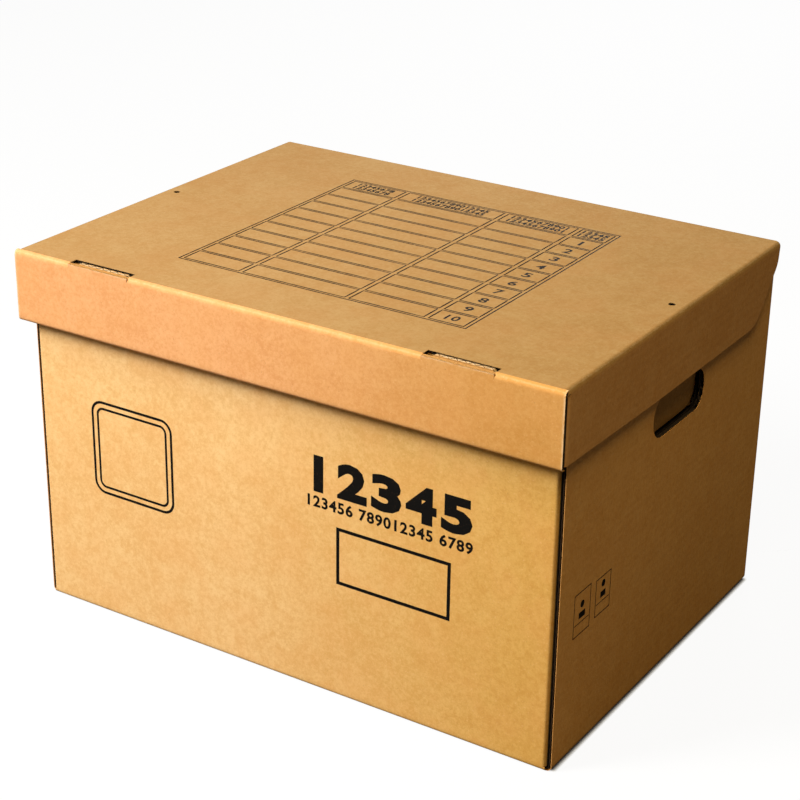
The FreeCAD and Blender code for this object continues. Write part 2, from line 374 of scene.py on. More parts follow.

# %% [markdown]
# Each face gets its own kraft, a pale and a deep colour. The board's tone differs from face to
# face by more than the soft lamps alone give, so the papers differ too, as painted light and
# shade. The front is palest and turns browner to its right end, a painted falloff of the key's
# light. The side walls and the lid's flaps are a more saturated brown, which is painted shade.
# The lid's top is darkest, also painted shade. The inside liner is a darker plain brown, painted
# shade of the box's inside and its hand holes, and isn't scuffed.

# %% Papers of the box and the lid
# Painted light: the front's paper is the palest, and browner to its right end as a painted falloff
# of the key's light.
FRONT_KRAFT_PAINTED_LIGHT = kraft("kraft_box_front_painted_light", ((0.93, 0.592, 0.258), (0.815, 0.452, 0.16)),
                    BOX_SHELL, right=((0.765, 0.438, 0.113), (0.67, 0.343, 0.073)))
# Painted shade: the side's paper is a more saturated brown.
SIDE_KRAFT_PAINTED_SHADE = kraft("kraft_box_side_painted_shade", ((0.92, 0.478, 0.150), (0.805, 0.370, 0.093)), BOX_SHELL)
# Painted shade: the inside liner is darker, for the box's inside and the hand holes.
INSIDE_KRAFT_PAINTED_SHADE = kraft("kraft_inner_liner_painted_shade", ((0.60, 0.315, 0.095), (0.51, 0.245, 0.062)),
                     BOX_SHELL, scuff=0.0)
BASE_KRAFT = kraft("kraft_box_base", ((0.84, 0.48, 0.165), (0.74, 0.38, 0.11)), BOX_SHELL)
# Painted shade: the lid's darker paper towards its right end, also used at the flaps' top creases.
LID_RIGHT_PAINTED_SHADE = ((0.417, 0.249, 0.087), (0.366, 0.197, 0.058))
LID_SCUFF = 0.75
# Painted shade: the lid's top paper is the darkest of the outer papers.
LID_KRAFT_PAINTED_SHADE = kraft("kraft_lid_top_painted_shade", ((0.490, 0.301, 0.125), (0.429, 0.240, 0.085)),
                  LID_SHELL, right=LID_RIGHT_PAINTED_SHADE, scuff=LID_SCUFF)
# Painted light: the lid's front paper is paler than its top, and browner to its right end as a
# painted falloff of the key's light.
LID_FRONT_KRAFT_PAINTED_LIGHT = kraft("kraft_lid_front_painted_light", ((0.872, 0.445, 0.196), (0.777, 0.350, 0.131)),
                        LID_SHELL, right=((0.665, 0.340, 0.095), (0.60, 0.277, 0.063)),
                        scuff=LID_SCUFF)
# Painted shade: the flaps' paper is a darker, saturated brown, and takes the lid top's darker
# paper at its creases.
FLAP_KRAFT_PAINTED_SHADE = kraft("kraft_lid_flap_painted_shade", ((0.79, 0.401, 0.140), (0.69, 0.313, 0.088)),
                   LID_SHELL, scuff=LID_SCUFF, crease=LID_RIGHT_PAINTED_SHADE)
print("kraft papers:", [m.name for m in bpy.data.materials if m.name.startswith("kraft")])

# %% [markdown]
# The wavy sheet inside the board is recycled paper. Hardly any light gets in between the
# liners, so it is made very dark, and it also stands for the hidden faces inside the double
# side walls. Where a cut edge is crushed, pale torn fibres show. The print is black ink that
# soaks into the kraft, so a little brown shows through it.

# %% Medium paper, crushed edges and ink
def medium_paper():
    bench = Bench("medium_paper")
    blotch = bench.noise(bench.place(), 240, 4, 0.65)
    colour = bench.mix(blotch.ramp(0.3, 0.7), rgba(0.042, 0.023, 0.011),
                       rgba(0.022, 0.012, 0.006))
    return bench.finish(colour, 0.9, blotch)


def crushed_paper():
    """The pale torn fibres of an edge that was cut and crushed shut."""
    bench = Bench("crushed_paper")
    torn = bench.noise(bench.place(), 500, 4, 0.7)
    colour = bench.mix(torn.ramp(0.3, 0.65), rgba(0.86, 0.66, 0.42), rgba(0.62, 0.38, 0.17))
    return bench.finish(colour, 0.9, torn, 0.0002)


def printing_ink():
    bench = Bench("printing_ink")
    soak = bench.noise(bench.place(), 700, 3, 0.7)
    thin = soak.ramp(0.60, 0.76) * 0.4
    colour = bench.mix(thin, rgba(0.004, 0.0035, 0.003), rgba(0.10, 0.05, 0.02))
    bench.shader.inputs["Specular IOR Level"].default_value = PAPER_SHEEN
    return bench.finish(colour, 0.62 + thin * 0.3, soak, 0.00004)


MEDIUM = medium_paper()
CRUSHED = crushed_paper()
INK = printing_ink()
print("other papers and ink:", MEDIUM.name, CRUSHED.name, INK.name)

# %% [markdown]
# A plain white floor and a white world, as in a product photograph. The camera sees both
# nearly white, by Light Path's Is Camera Ray, while the light they throw on the box stays
# low. A white floor in a picture also hides the thin dark line where a box stands on it, so
# the floor is darkened within a few mm of the box by Ambient Occlusion, except in front of
# it, where the photograph shows no such line.

# %% Floor
FLOOR_SIZE = 30.0
FLOOR_DROP = -0.0002
FLOOR_GLOW = 0.93
CONTACT = 0.0035
CONTACT_SHARE = 1.3
BEHIND_FRONT = (-150, -146)


def white_floor():
    bench = Bench("white_floor")
    seen = bench.node("ShaderNodeLightPath", {}, output="Is Camera Ray")
    tone = bench.noise(bench.place(), 2.0)
    thrown = bench.mix(tone, rgba(0.10, 0.09, 0.075), rgba(0.12, 0.11, 0.095))
    behind = bench.millimetres(bench.place())[1].ramp(*BEHIND_FRONT)
    hidden = 1 - bench.node("ShaderNodeAmbientOcclusion", {"samples": 8}, Distance=CONTACT,
                            output="AO")
    clear = 1 - (hidden * behind * CONTACT_SHARE).least(1)
    clear = clear * clear
    white = bench.mix(clear, rgba(0.03, 0.03, 0.03), rgba(0.95, 0.95, 0.95))
    bench.finish(bench.mix(seen, thrown, white), 0.9)
    glow = bench.node("ShaderNodeEmission", {}, Color=rgba(1, 1, 1), Strength=1.0)
    lit = Wire(bench, bench.shader.outputs[0])
    both = bench.node("ShaderNodeMixShader", {}, seen * clear * FLOOR_GLOW, lit, glow)
    bench.feed(bench.tree.nodes["Material Output"].inputs["Surface"], both)
    return bench.material


floor_mesh = bpy.data.meshes.new("floor")
floor_mesh.from_pydata([(x * FLOOR_SIZE, y * FLOOR_SIZE, 0)
                        for x, y in ((-1, -1), (1, -1), (1, 1), (-1, 1))], [], [(0, 1, 2, 3)])
floor_mesh.materials.append(white_floor())
floor = bpy.data.objects.new("floor", floor_mesh)
floor.location.z = FLOOR_DROP
bpy.context.scene.collection.objects.link(floor)
print("floor is %.0f m wide" % (2 * FLOOR_SIZE))

# %% [markdown]
# Three soft lamps. The key stands high at the front left: it lights the front most and the
# top well, leaves the right side in shade, and is small enough that the lid throws a shadow
# under its edge. A warm lamp over the front right corner gives that shaded side its brown.
# A weak one behind the box keeps its rear readable.

# %% World and lamps
AMBIENT = 0.04
LAMP_AIM = Vector((0, 0, 0.13))


def white_world():
    world = bpy.data.worlds.new("white_world")
    bpy.context.scene.world = world
    world.use_nodes = True
    nodes, links = world.node_tree.nodes, world.node_tree.links
    nodes.clear()
    path = nodes.new("ShaderNodeLightPath")
    mix = nodes.new("ShaderNodeMixShader")
    output = nodes.new("ShaderNodeOutputWorld")
    links.new(path.outputs["Is Camera Ray"], mix.inputs[0])
    for socket, colour, strength in ((mix.inputs[1], rgba(1.0, 0.84, 0.62), AMBIENT),
                                     (mix.inputs[2], rgba(1, 1, 1), 1.0)):
        light = nodes.new("ShaderNodeBackground")
        light.inputs["Color"].default_value = colour
        light.inputs["Strength"].default_value = strength
        links.new(light.outputs[0], socket)
    links.new(mix.outputs[0], output.inputs[0])


def soft_lamp(name, place, size, power, colour=(1, 1, 1)):
    lamp = bpy.data.objects.new(name, bpy.data.lights.new(name, "AREA"))
    lamp.data.shape = "DISK"
    lamp.data.size = size
    lamp.data.energy = power
    lamp.data.color = colour
    lamp.location = place
    aim = LAMP_AIM - Vector(place)
    lamp.rotation_euler = aim.to_track_quat("-Z", "Y").to_euler()
    bpy.context.scene.collection.objects.link(lamp)


white_world()
soft_lamp("key", (-1.15, -1.5, 1.65), 0.9, 77)
soft_lamp("overhead", (0.62, -0.75, 1.9), 0.8, 19, (1, 0.83, 0.46))
soft_lamp("rear_fill", (-0.7, 2.2, 1.3), 1.0, 15)
print("lamps:", {lamp.name: lamp.energy for lamp in bpy.data.lights})

# %% [markdown]
# Corrugated board starts as a flat pattern. Each panel is an outline in flat coordinates:
# w along its creases and s across them. A Fold is the line that the panel's outer face
# follows, seen from the end of the creases, with a round crease at each corner. Laying the
# flat pattern along a Fold gives every point its place and the direction into the board.

# %% A folded line
class Fold:
    """A line of square corners in a plane, each rounded to its crease's radius."""

    def __init__(self, *corners, radii=None):
        points = [np.array(corner, float) for corner in corners]
        radii = radii or [FOLD] * (len(points) - 2)
        ways = [(b - a) / np.linalg.norm(b - a) for a, b in zip(points, points[1:])]
        turn = math.copysign(1, ways[0][0] * ways[1][1] - ways[0][1] * ways[1][0])
        self.runs = []
        self.creases = []
        length = 0.0
        here = points[0]
        for k, way in enumerate(ways):
            inward = turn * np.array((-way[1], way[0]))
            last = k == len(ways) - 1
            radius = 0 if last else radii[k]
            end = points[k + 1] - way * radius
            run = np.linalg.norm(end - here)
            self.runs.append((length, length + run, here, way, inward, None))
            length += run
            if not last:
                arc = radius * math.pi / 2
                self.creases.append((length, arc))
                self.runs.append((length, length + arc, end + inward * radius, way, inward,
                                  radius))
                length += arc
                here = points[k + 1] + ways[k + 1] * radius
        self.length = length

    def at(self, s):
        """Places and inward directions at lengths s along the line."""
        place = np.zeros((len(s), 2))
        inward = np.zeros((len(s), 2))
        for start, end, origin, way, side, radius in self.runs:
            if end - start < 1e-9:
                continue
            here = (s >= start - 1e-4) & (s <= end + 1e-4)
            along = np.clip(s[here] - start, 0, end - start)[:, None]
            if radius is None:
                place[here] = origin + along * way
                inward[here] = side
            else:
                angle = along / radius
                inward[here] = np.cos(angle) * side - np.sin(angle) * way
                place[here] = origin - inward[here] * radius
        return place, inward


print("a wall and its foot take %.1f mm" % Fold((0, 0), (FOLD, 0), (FOLD, WALL_TOP)).length)

# %% [markdown]
# Two ways to lay a flat pattern: along a fold that is swept along an axis of the model, and
# on a plane. Each gives a function of w and s, and can lay the mirror image on the left.

# %% Laying a pattern in its place
def swept(fold, axis, side=1):
    """Lays flat points along a fold that is swept along an axis of the model."""
    others = [k for k in range(3) if k != axis]

    def lay(w, s):
        line, turned = fold.at(s)
        place = np.zeros((len(s), 3))
        inward = np.zeros((len(s), 3))
        place[:, axis] = w
        place[:, others] = line
        inward[:, others] = turned
        place[:, 0] *= side
        inward[:, 0] *= side
        return place, inward
    return lay


def level(axis_w, axis_s, origin, inward, side=1):
    """Lays flat points on a plane."""
    def lay(w, s):
        place = np.tile(np.array(origin, float), (len(s), 1))
        place[:, axis_w] = w
        place[:, axis_s] = s
        into = np.tile(np.array(inward, float), (len(s), 1))
        place[:, 0] *= side
        into[:, 0] *= side
        return place, into
    return lay


laid, into_board = level(0, 1, (0, 0, 5), (0, 0, 1))(np.array([1.0]), np.array([2.0]))
print("w 1, s 2 on a plane at height 5:", laid[0], "with the board towards", into_board[0])

# %% [markdown]
# An outline is a list of flat points. Most are rectangles, circles, or corners with arcs.

# %% Outlines
ARC_STEP = 9


def rectangle(w0, w1, s0, s1):
    return [(w0, s0), (w1, s0), (w1, s1), (w0, s1)]


def circle(w, s, radius, steps=18):
    return [(w + radius * math.cos(2 * math.pi * k / steps),
             s + radius * math.sin(2 * math.pi * k / steps)) for k in range(steps)]


def rounded(*corners):
    """An outline of corners (w, s, radius), with an arc at each corner that has a radius."""
    outline = []
    for k, (w, s, radius) in enumerate(corners):
        corner = np.array((w, s), float)
        if radius == 0:
            outline.append((w, s))
            continue
        back = np.array(corners[k - 1][:2], float) - corner
        onward = np.array(corners[(k + 1) % len(corners)][:2], float) - corner
        back, onward = back / np.linalg.norm(back), onward / np.linalg.norm(onward)
        half = math.acos(float(np.clip(back @ onward, -1, 1))) / 2
        bisector = (back + onward) / np.linalg.norm(back + onward)
        centre = corner + bisector * radius / math.sin(half)
        start = corner + back * radius / math.tan(half) - centre
        end = corner + onward * radius / math.tan(half) - centre
        sweep = math.pi - 2 * half
        steps = max(2, round(sweep / math.radians(ARC_STEP)))
        for k_step in range(steps + 1):
            t = k_step / steps
            mixed = (math.sin((1 - t) * sweep) * start + math.sin(t * sweep) * end)
            outline.append(tuple(centre + mixed / math.sin(sweep)))
    return outline


print("points of a rounded square:", len(rounded(*[(w, s, 2) for w, s in
                                                   rectangle(0, 10, 0, 10)])))

# %% [markdown]
# The outline is cut like a die cuts it. A constrained Delaunay triangulation fills the
# outline with triangles and keeps an edge along every ruling, so that a sheet can bend at
# its creases. Triangles outside the outline, or in a hole, are dropped.

# %% Cutting a sheet
def inside(points, loops):
    """Which points lie inside the outline and outside its holes."""
    odd = np.zeros(len(points), bool)
    for loop in loops:
        ends = np.roll(np.array(loop, float), -1, axis=0)
        for (w0, s0), (w1, s1) in zip(loop, ends):
            if s0 == s1:
                continue
            crosses = (points[:, 1] < s0) != (points[:, 1] < s1)
            at = w0 + (points[:, 1] - s0) * (w1 - w0) / (s1 - s0)
            odd ^= crosses & (points[:, 0] < at)
    return odd


def cut_sheet(loops, rulings_w=(), rulings_s=()):
    """Flat points and triangles of the outline, with an edge along each ruling."""
    points, edges = [], []
    for loop in loops:
        first = len(points)
        points += [Vector(p) for p in loop]
        edges += [(first + k, first + (k + 1) % len(loop)) for k in range(len(loop))]
    low = np.min([p for loop in loops for p in loop], axis=0)
    high = np.max([p for loop in loops for p in loop], axis=0)
    for axis, rulings in ((0, rulings_w), (1, rulings_s)):
        for ruling in rulings:
            if low[axis] + 0.01 < ruling < high[axis] - 0.01:
                ends = [[ruling, ruling], [ruling, ruling]]
                ends[0][1 - axis] = low[1 - axis] - 1
                ends[1][1 - axis] = high[1 - axis] + 1
                edges.append((len(points), len(points) + 1))
                points += [Vector(ends[0]), Vector(ends[1])]
    made = delaunay_2d_cdt(points, edges, [], 0, 1e-5)
    flat = np.array([tuple(p) for p in made[0]])
    faces = np.array([tuple(f) for f in made[2]])
    corners = flat[faces]
    a, b = corners[:, 1] - corners[:, 0], corners[:, 2] - corners[:, 0]
    area = np.abs(a[:, 0] * b[:, 1] - a[:, 1] * b[:, 0])
    faces = faces[inside(corners.mean(axis=1), loops) & (area > 1e-7)]
    used, packed = np.unique(faces, return_inverse=True)
    return flat[used], packed.reshape(faces.shape)


test_flat, test_faces = cut_sheet([rectangle(0, 10, 0, 5), circle(5, 2.5, 1)])
print("test sheet: %d points, %d triangles" % (len(test_flat), len(test_faces)))

# %% [markdown]
# A rule that is the same for every panel belongs in Geometry Nodes. Tree makes such a tree: it
# takes sizes as named inputs, adds a node with its settings and inputs in one line, and
# writes sums as maths.

# %% A short way to write node trees
class Tree:
    """A Geometry Nodes tree with a short way to add nodes and sums."""

    def __init__(self, name):
        self.group = bpy.data.node_groups.new(name, "GeometryNodeTree")
        for way in ("INPUT", "OUTPUT"):
            self.socket("Geometry", way, "NodeSocketGeometry")
        self.ids = {}

    def socket(self, name, way, kind):
        return self.group.interface.new_socket(name=name, in_out=way, socket_type=kind)

    def size(self, name, value=None, kind="NodeSocketFloat"):
        socket = self.socket(name, "INPUT", kind)
        if value is not None:
            socket.default_value = value
        self.ids[name] = socket.identifier

    def ready(self):
        self.start = self.group.nodes.new("NodeGroupInput")
        self.end = self.group.nodes.new("NodeGroupOutput")

    def given(self, name):
        return self.start.outputs[name]

    def node(self, kind, settings, *values, output=0, **named):
        made = self.group.nodes.new(kind)
        for key, value in settings.items():
            setattr(made, key, value)
        shown = [socket for socket in made.inputs if socket.enabled]
        wanted = list(zip(shown, values))
        wanted += [(next(s for s in shown if s.name == key.replace("_", " ")), value)
                   for key, value in named.items()]
        for socket, value in wanted:
            if isinstance(value, bpy.types.NodeSocket):
                self.group.links.new(value, socket)
            elif value is not None:
                socket.default_value = value
        return [socket for socket in made.outputs if socket.enabled][output]

    def maths(self, operation, *values):
        return self.node("ShaderNodeMath", {"operation": operation}, *values)

    def scaled(self, vector, factor):
        return self.node("ShaderNodeVectorMath", {"operation": "SCALE"}, Vector=vector,
                         Scale=factor)

    def named(self, name, kind):
        return self.node("GeometryNodeInputNamedAttribute", {"data_type": kind}, Name=name)

    def joined(self, first, second):
        both = self.node("GeometryNodeJoinGeometry", {}, first)
        self.group.links.new(second, both.node.inputs[0])
        return both

    def deliver(self, geometry):
        self.group.links.new(geometry, self.end.inputs[0])


print("tree helpers ready")

# %% [markdown]
# The corrugating tree takes a mesh of sheets that all lie on the panel's outer face, marked
# by the attribute layer: 0 for the outer liner, 1 for the wavy medium, 2 for the inner liner
# and 3 for a core, which fills the board where its cut edge has been crushed shut. Each is
# moved into the board to its own depth, the medium by a sine wave of the distance across the
# flutes, and is then given the thickness of its paper. The attribute press flattens the wave
# where the board has been crushed, at a crease or at a cut end.

# %% The corrugating tree
LINER = 0.28
FLUTING = 0.22
UNEVENNESS = 0.12
PAPERS = ("Liner paper", "Inner paper", "Medium paper", "Core paper")


def corrugating_tree():
    tree = Tree("corrugate")
    for name, value in (("Board", BOARD * MM), ("Liner", LINER * MM), ("Medium", FLUTING * MM),
                        ("Pitch", FLUTE_PITCH * MM), ("Unevenness", UNEVENNESS)):
        tree.size(name, value)
    tree.size("Seed", 3, "NodeSocketInt")
    for name in PAPERS:
        tree.size(name, kind="NodeSocketMaterial")
    tree.ready()
    maths, given = tree.maths, tree.given
    layer = tree.named("layer", "INT")
    is_medium, is_inner, is_core = [
        tree.node("FunctionNodeCompare", {"data_type": "INT", "operation": "EQUAL"}, A=layer,
                  B=number) for number in (1, 2, 3)]

    def choose(test, otherwise, value):
        return tree.node("GeometryNodeSwitch", {"input_type": "FLOAT"}, test, otherwise, value)

    turns = maths("DIVIDE", tree.named("across", "FLOAT"), given("Pitch"))
    uneven = tree.node("ShaderNodeTexNoise", {"noise_dimensions": "4D"}, W=given("Seed"),
                       Scale=25.0, Detail=1.0)
    uneven = maths("MULTIPLY", maths("SUBTRACT", uneven, 0.5), given("Unevenness"))
    wave = maths("SINE", maths("MULTIPLY", maths("ADD", turns, uneven), 2 * math.pi))
    half_core = maths("SUBTRACT", maths("MULTIPLY", given("Board"), 0.5), given("Liner"))
    swing = maths("SUBTRACT", half_core, maths("MULTIPLY", given("Medium"), 0.6))
    swing = maths("MULTIPLY", swing, tree.named("press", "FLOAT"))
    middle = maths("MULTIPLY", maths("ADD", given("Board"), given("Medium")), 0.5)
    wavy = maths("ADD", middle, maths("MULTIPLY", wave, swing))
    under_liner = maths("SUBTRACT", given("Board"), given("Liner"))
    depth = choose(is_inner, given("Liner"), given("Board"))
    depth = choose(is_core, choose(is_medium, depth, wavy), under_liner)
    core_thickness = maths("SUBTRACT", under_liner, given("Liner"))
    paper = choose(is_core, choose(is_medium, given("Liner"), given("Medium")), core_thickness)
    inward = tree.named("inward", "FLOAT_VECTOR")
    sheets = tree.node("GeometryNodeSetPosition", {}, Geometry=given("Geometry"),
                       Offset=tree.scaled(inward, depth))
    raised = tree.node("GeometryNodeExtrudeMesh", {"mode": "FACES"}, Mesh=sheets,
                       Offset_Scale=0.0, Individual=False)
    top = raised.node.outputs["Top"]
    up = tree.scaled(inward, maths("MULTIPLY", paper, -1.0))
    raised = tree.node("GeometryNodeSetPosition", {}, Geometry=raised, Selection=top, Offset=up)
    both = tree.joined(raised, tree.node("GeometryNodeFlipFaces", {}, sheets))
    closed = tree.node("GeometryNodeMergeByDistance", {}, Geometry=both, Distance=2e-6)
    closed = tree.node("GeometryNodeRealizeInstances", {}, closed)
    for name, part in zip(PAPERS, (None, is_inner, is_medium, is_core)):
        closed = tree.node("GeometryNodeSetMaterial", {}, Geometry=closed, Selection=part,
                           Material=given(name))
    tree.deliver(closed)
    return tree


corrugate = corrugating_tree()
print("corrugating inputs:", list(corrugate.ids))

# %% [markdown]
# Where a board is folded, or its end was pressed by the cutting die, its flutes lie flatter.
# Rulings are the lines along which a flat sheet may bend: a few across each crease's arc, and
# two on each side of a pressed end.

# %% Creases and pressed ends
CREASE_STEPS = 6
FLAT_CREASE = 0.45
CREASE_REACH = 2
FLAT_EDGE = 0.12
EDGE_REACH = 5
EDGE_BEND = 2


def crease_rulings(creases):
    rulings = []
    for start, arc in creases:
        rulings += [start - CREASE_REACH, start + arc + CREASE_REACH]
        rulings += [start + arc * k / CREASE_STEPS for k in range(CREASE_STEPS + 1)]
    return rulings


def end_rulings(ends):
    return [end + step for end in ends
            for step in (-EDGE_REACH, -EDGE_BEND, EDGE_BEND, EDGE_REACH)]


def crease_press(coordinate, creases):
    """1 on flat board, less within a crease."""
    press = np.ones(len(coordinate))
    for start, arc in creases:
        away = np.maximum(start - coordinate, coordinate - start - arc)
        rising = FLAT_CREASE + (1 - FLAT_CREASE) * away / CREASE_REACH
        press = np.minimum(press, np.clip(rising, FLAT_CREASE, 1))
    return press


def end_press(coordinate, ends):
    """1 on flat board, less towards a pressed end."""
    press = np.ones(len(coordinate))
    for end in ends:
        press = np.minimum(press, np.clip(np.abs(coordinate - end) / EDGE_REACH, FLAT_EDGE, 1))
    return press


print("rulings of one crease:", [round(r, 1) for r in crease_rulings([(0, ARC)])])

# %% [markdown]
# Pattern collects flat sheets that have been laid in their places, with what the tree needs
# to know of every point, and makes one mesh of them.

# %% Sheets laid in their places
ATTRIBUTES = (("inward", "FLOAT_VECTOR", "vector"), ("across", "FLOAT", "value"),
              ("press", "FLOAT", "value"), ("layer", "INT", "value"))


def facing_out(place, inward, faces):
    """The same triangles, all turned to face out of the board."""
    a, b, c = (place[faces[:, k]] for k in range(3))
    normal = np.cross(b - a, c - a)
    into = inward[faces].sum(axis=1)
    wrong = (normal * into).sum(axis=1) > 0
    faces = faces.copy()
    faces[wrong] = faces[wrong][:, ::-1]
    return faces


class Pattern:
    """Sheets laid in their places, as one mesh."""

    def __init__(self):
        self.faces = []
        self.rows = {name: [] for name in ("place", "inward", "across", "press", "layer")}
        self.count = 0

    def add(self, lay, flat, triangles, across=0.0, press=0.0, layer=0):
        place, inward = lay(flat[:, 0], flat[:, 1])
        self.faces.append(facing_out(place, inward, triangles) + self.count)
        self.count += len(flat)
        plain = np.zeros(len(flat))
        for name, values in (("place", place * MM), ("inward", inward),
                             ("across", plain + across * MM), ("press", plain + press),
                             ("layer", plain.astype(int) + layer)):
            self.rows[name].append(values)

    def mesh(self, name):
        made = bpy.data.meshes.new(name)
        rows = {key: np.concatenate(values) for key, values in self.rows.items()}
        made.from_pydata(rows["place"].tolist(), [], np.concatenate(self.faces).tolist())
        for key, kind, field in ATTRIBUTES:
            attribute = made.attributes.new(key, kind, "POINT")
            attribute.data.foreach_set(field, np.ravel(rows[key]))
        return made


print("point attributes:", [name for name, kind, field in ATTRIBUTES])

# %% [markdown]
# The pattern's mesh goes through Geometry Nodes and becomes a plain mesh, so that no modifier
# is left on the piece.

# %% From a pattern to a plain piece
def plain_mesh(name, mesh, modifiers):
    """Applies Geometry Nodes to a mesh and gives a plain object at the origin."""
    source = bpy.data.objects.new(name + "_pattern", mesh)
    bpy.context.scene.collection.objects.link(source)
    for tree, values in modifiers:
        modifier = source.modifiers.new("nodes", "NODES")
        modifier.node_group = tree.group
        for key, value in values.items():
            modifier[tree.ids[key]] = value
    bpy.context.view_layer.update()
    ready = source.evaluated_get(bpy.context.evaluated_depsgraph_get())
    made = bpy.data.meshes.new_from_object(ready)
    made.name = name
    bpy.data.objects.remove(source)
    piece = bpy.data.objects.new(name, made)
    bpy.context.scene.collection.objects.link(piece)
    return piece


def forget(piece, names):
    for name in names:
        piece.data.attributes.remove(piece.data.attributes[name])


def smooth(piece, degrees=35):
    piece.data.shade_smooth()
    piece.data.set_sharp_from_angle(angle=math.radians(degrees))


print("plain pieces ready")

# %% [markdown]
# A board is made in four steps: cut its sheets flat, lay them along the fold, let the tree
# corrugate them, and turn the result into a plain mesh. The medium needs an edge every
# tenth of a flute, the liners only at their creases and every few centimetres.

# %% Making a board
STEPS_PER_FLUTE = 10
LINER_GRID = 40.0
GRID_CLEAR = 1


def span(loops):
    """The lowest and highest coordinates of some loops."""
    points = [point for loop in loops for point in loop]
    return np.min(points, axis=0), np.max(points, axis=0)


def every(step, low, high):
    """The multiples of a step from low to high."""
    return np.arange(math.ceil(low / step) * step, high, step)


def board(node, body, lay, loops, across, paper, creases_w=(), creases_s=(), rulings_s=(),
          core=(), crest=0.0, core_paper=None, inner_paper=None, flat_ends=()):
    """One panel of corrugated board, which stands for a CAD node. Across says which flat
    coordinate crosses the flutes, "w" or "s". Core lists the parts that are crushed shut,
    crest is a place where the medium touches the inner liner, and flat_ends are places along
    w where the board is pressed flat."""
    low, high = span(loops)
    fixed = {"w": crease_rulings(creases_w) + end_rulings(flat_ends),
             "s": crease_rulings(creases_s) + list(rulings_s)}
    coarse, fine = {}, {}
    for k, key in enumerate("ws"):
        coarse[key] = fixed[key] + [line for line in every(LINER_GRID, low[k], high[k])
                                    if all(abs(line - other) > GRID_CLEAR
                                           for other in fixed[key])]
        fine[key] = coarse[key]
        if key == across:
            fine[key] = list(every(FLUTE_PITCH / STEPS_PER_FLUTE, low[k], high[k]))
    pattern = Pattern()
    for layer, rulings in enumerate((coarse, fine, coarse, coarse)):
        sheet = core if layer == 3 else loops
        if sheet:
            flat, triangles = cut_sheet(sheet, rulings["w"], rulings["s"])
            w, s = flat[:, 0], flat[:, 1]
            press = np.minimum(crease_press(w, creases_w), crease_press(s, creases_s))
            phase = (w if across == "w" else s) - crest + FLUTE_PITCH / 4
            pattern.add(lay, flat, triangles, phase,
                        np.minimum(press, end_press(w, flat_ends)), layer)
    papers = (paper, inner_paper or INSIDE_KRAFT_PAINTED_SHADE, MEDIUM, core_paper or CRUSHED)
    piece = plain_mesh(node + "_board", pattern.mesh(node),
                       [(corrugate, dict(zip(PAPERS, papers)))])
    smooth(piece)
    forget(piece, ("inward", "press", "layer"))
    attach(piece, body)
    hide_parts(node)
    piece.data.calc_loop_triangles()
    print("%-24s %6d triangles" % (node, len(piece.data.loop_triangles)))


def both_sides(make):
    """Makes a piece for the right side and its mirror image for the left."""
    for side, word in ((1, "right"), (-1, "left")):
        make(side, word)


print("board maker ready")

# %% [markdown]
# The bottom is a flat panel with four slots, in which the inner side walls lock. Its flutes
# run from front to rear, and the walls carry on from its creases.

# %% Bottom
LOCKS = [MIDDLE_Y - 80, MIDDLE_Y + 80]
LOCK_HALF = 25.0
SLOT_HALF = LOCK_HALF + 0.6

slots = [rectangle(*sorted((side * (INNER_X - FOLD), side * (INNER_X + AIR))),
                   middle - SLOT_HALF, middle + SLOT_HALF)
         for side in (-1, 1) for middle in LOCKS]
board("bottom_panel", "box", level(0, 1, (0, 0, 0), (0, 0, 1)),
      [rectangle(-TAB_X, TAB_X, FRONT + FOLD, REAR - FOLD)] + slots, "w", BASE_KRAFT)

# %% [markdown]
# The front wall turns up from the bottom crease, and at each side turns back into a corner
# tab. Its upright creases start a little above the bottom one, so the pattern has a relief
# notch there, and they are tighter than the other folds, because the tabs are pulled in hard
# when the box is set up. Boards bow very slightly between their creases, which softens the
# outline.

# %% The walls' corners and their bow
RELIEF = 1.0
CREASE_X = TAB_X - FOLD
CORNER_RADIUS = 2.3
CORNER = Fold((0, FRONT), (TAB_X, FRONT), (TAB_X, FRONT + FOLD), radii=[CORNER_RADIUS])
CORNER_START, CORNER_ARC = CORNER.creases[0]
UPRIGHT_CREASES = [(CORNER_START, CORNER_ARC), (-CORNER_START - CORNER_ARC, CORNER_ARC)]
FOOT_CREASE = [(0, ARC)]
RELIEF_STEP = 0.3
BOW = 0.7
BOW_TOP = 225
REAR_BOW = -0.4


def bow(across, height, half_width):
    """How far a wall stands out, in mm, between its creases."""
    u = np.clip(across / half_width, -1, 1)
    v = np.clip(height / BOW_TOP, 0, 1)
    return BOW * (1 - u ** 2) ** 2 * (4 * v * (1 - v)) ** 2


middle_height = np.array([BOW_TOP / 2])
print("bow in mm at the middle of the front:", bow(np.zeros(1), middle_height, CREASE_X))

# %% [markdown]
# Above the relief notch, what lies past an upright crease is laid around the corner. The rear
# wall is the same wall turned round, and it bows in a little where the front bows out.

# %% Front and rear walls
def upright_wall(rear):
    fold = Fold((FRONT + FOLD, 0), (FRONT, 0), (FRONT, WALL_TOP))
    base = swept(fold, 0)

    def lay(w, s):
        place, inward = base(w, s)
        height = s - ARC + FOLD
        share = REAR_BOW / BOW if rear else 1
        place = place - inward * share * bow(w, height, CREASE_X)[:, None]
        turned = (np.abs(w) > CORNER_START) & (s > ARC + RELIEF_STEP / 2)
        sign = np.sign(w[turned])
        line, into = CORNER.at(np.abs(w[turned]))
        place[turned] = np.stack([sign * line[:, 0], line[:, 1], height[turned]], axis=1)
        inward[turned] = np.stack([sign * into[:, 0], into[:, 1], 0 * sign], axis=1)
        if rear:
            place[:, 1] = 2 * MIDDLE_Y - place[:, 1]
            inward[:, 1] *= -1
        return place, inward
    return lay


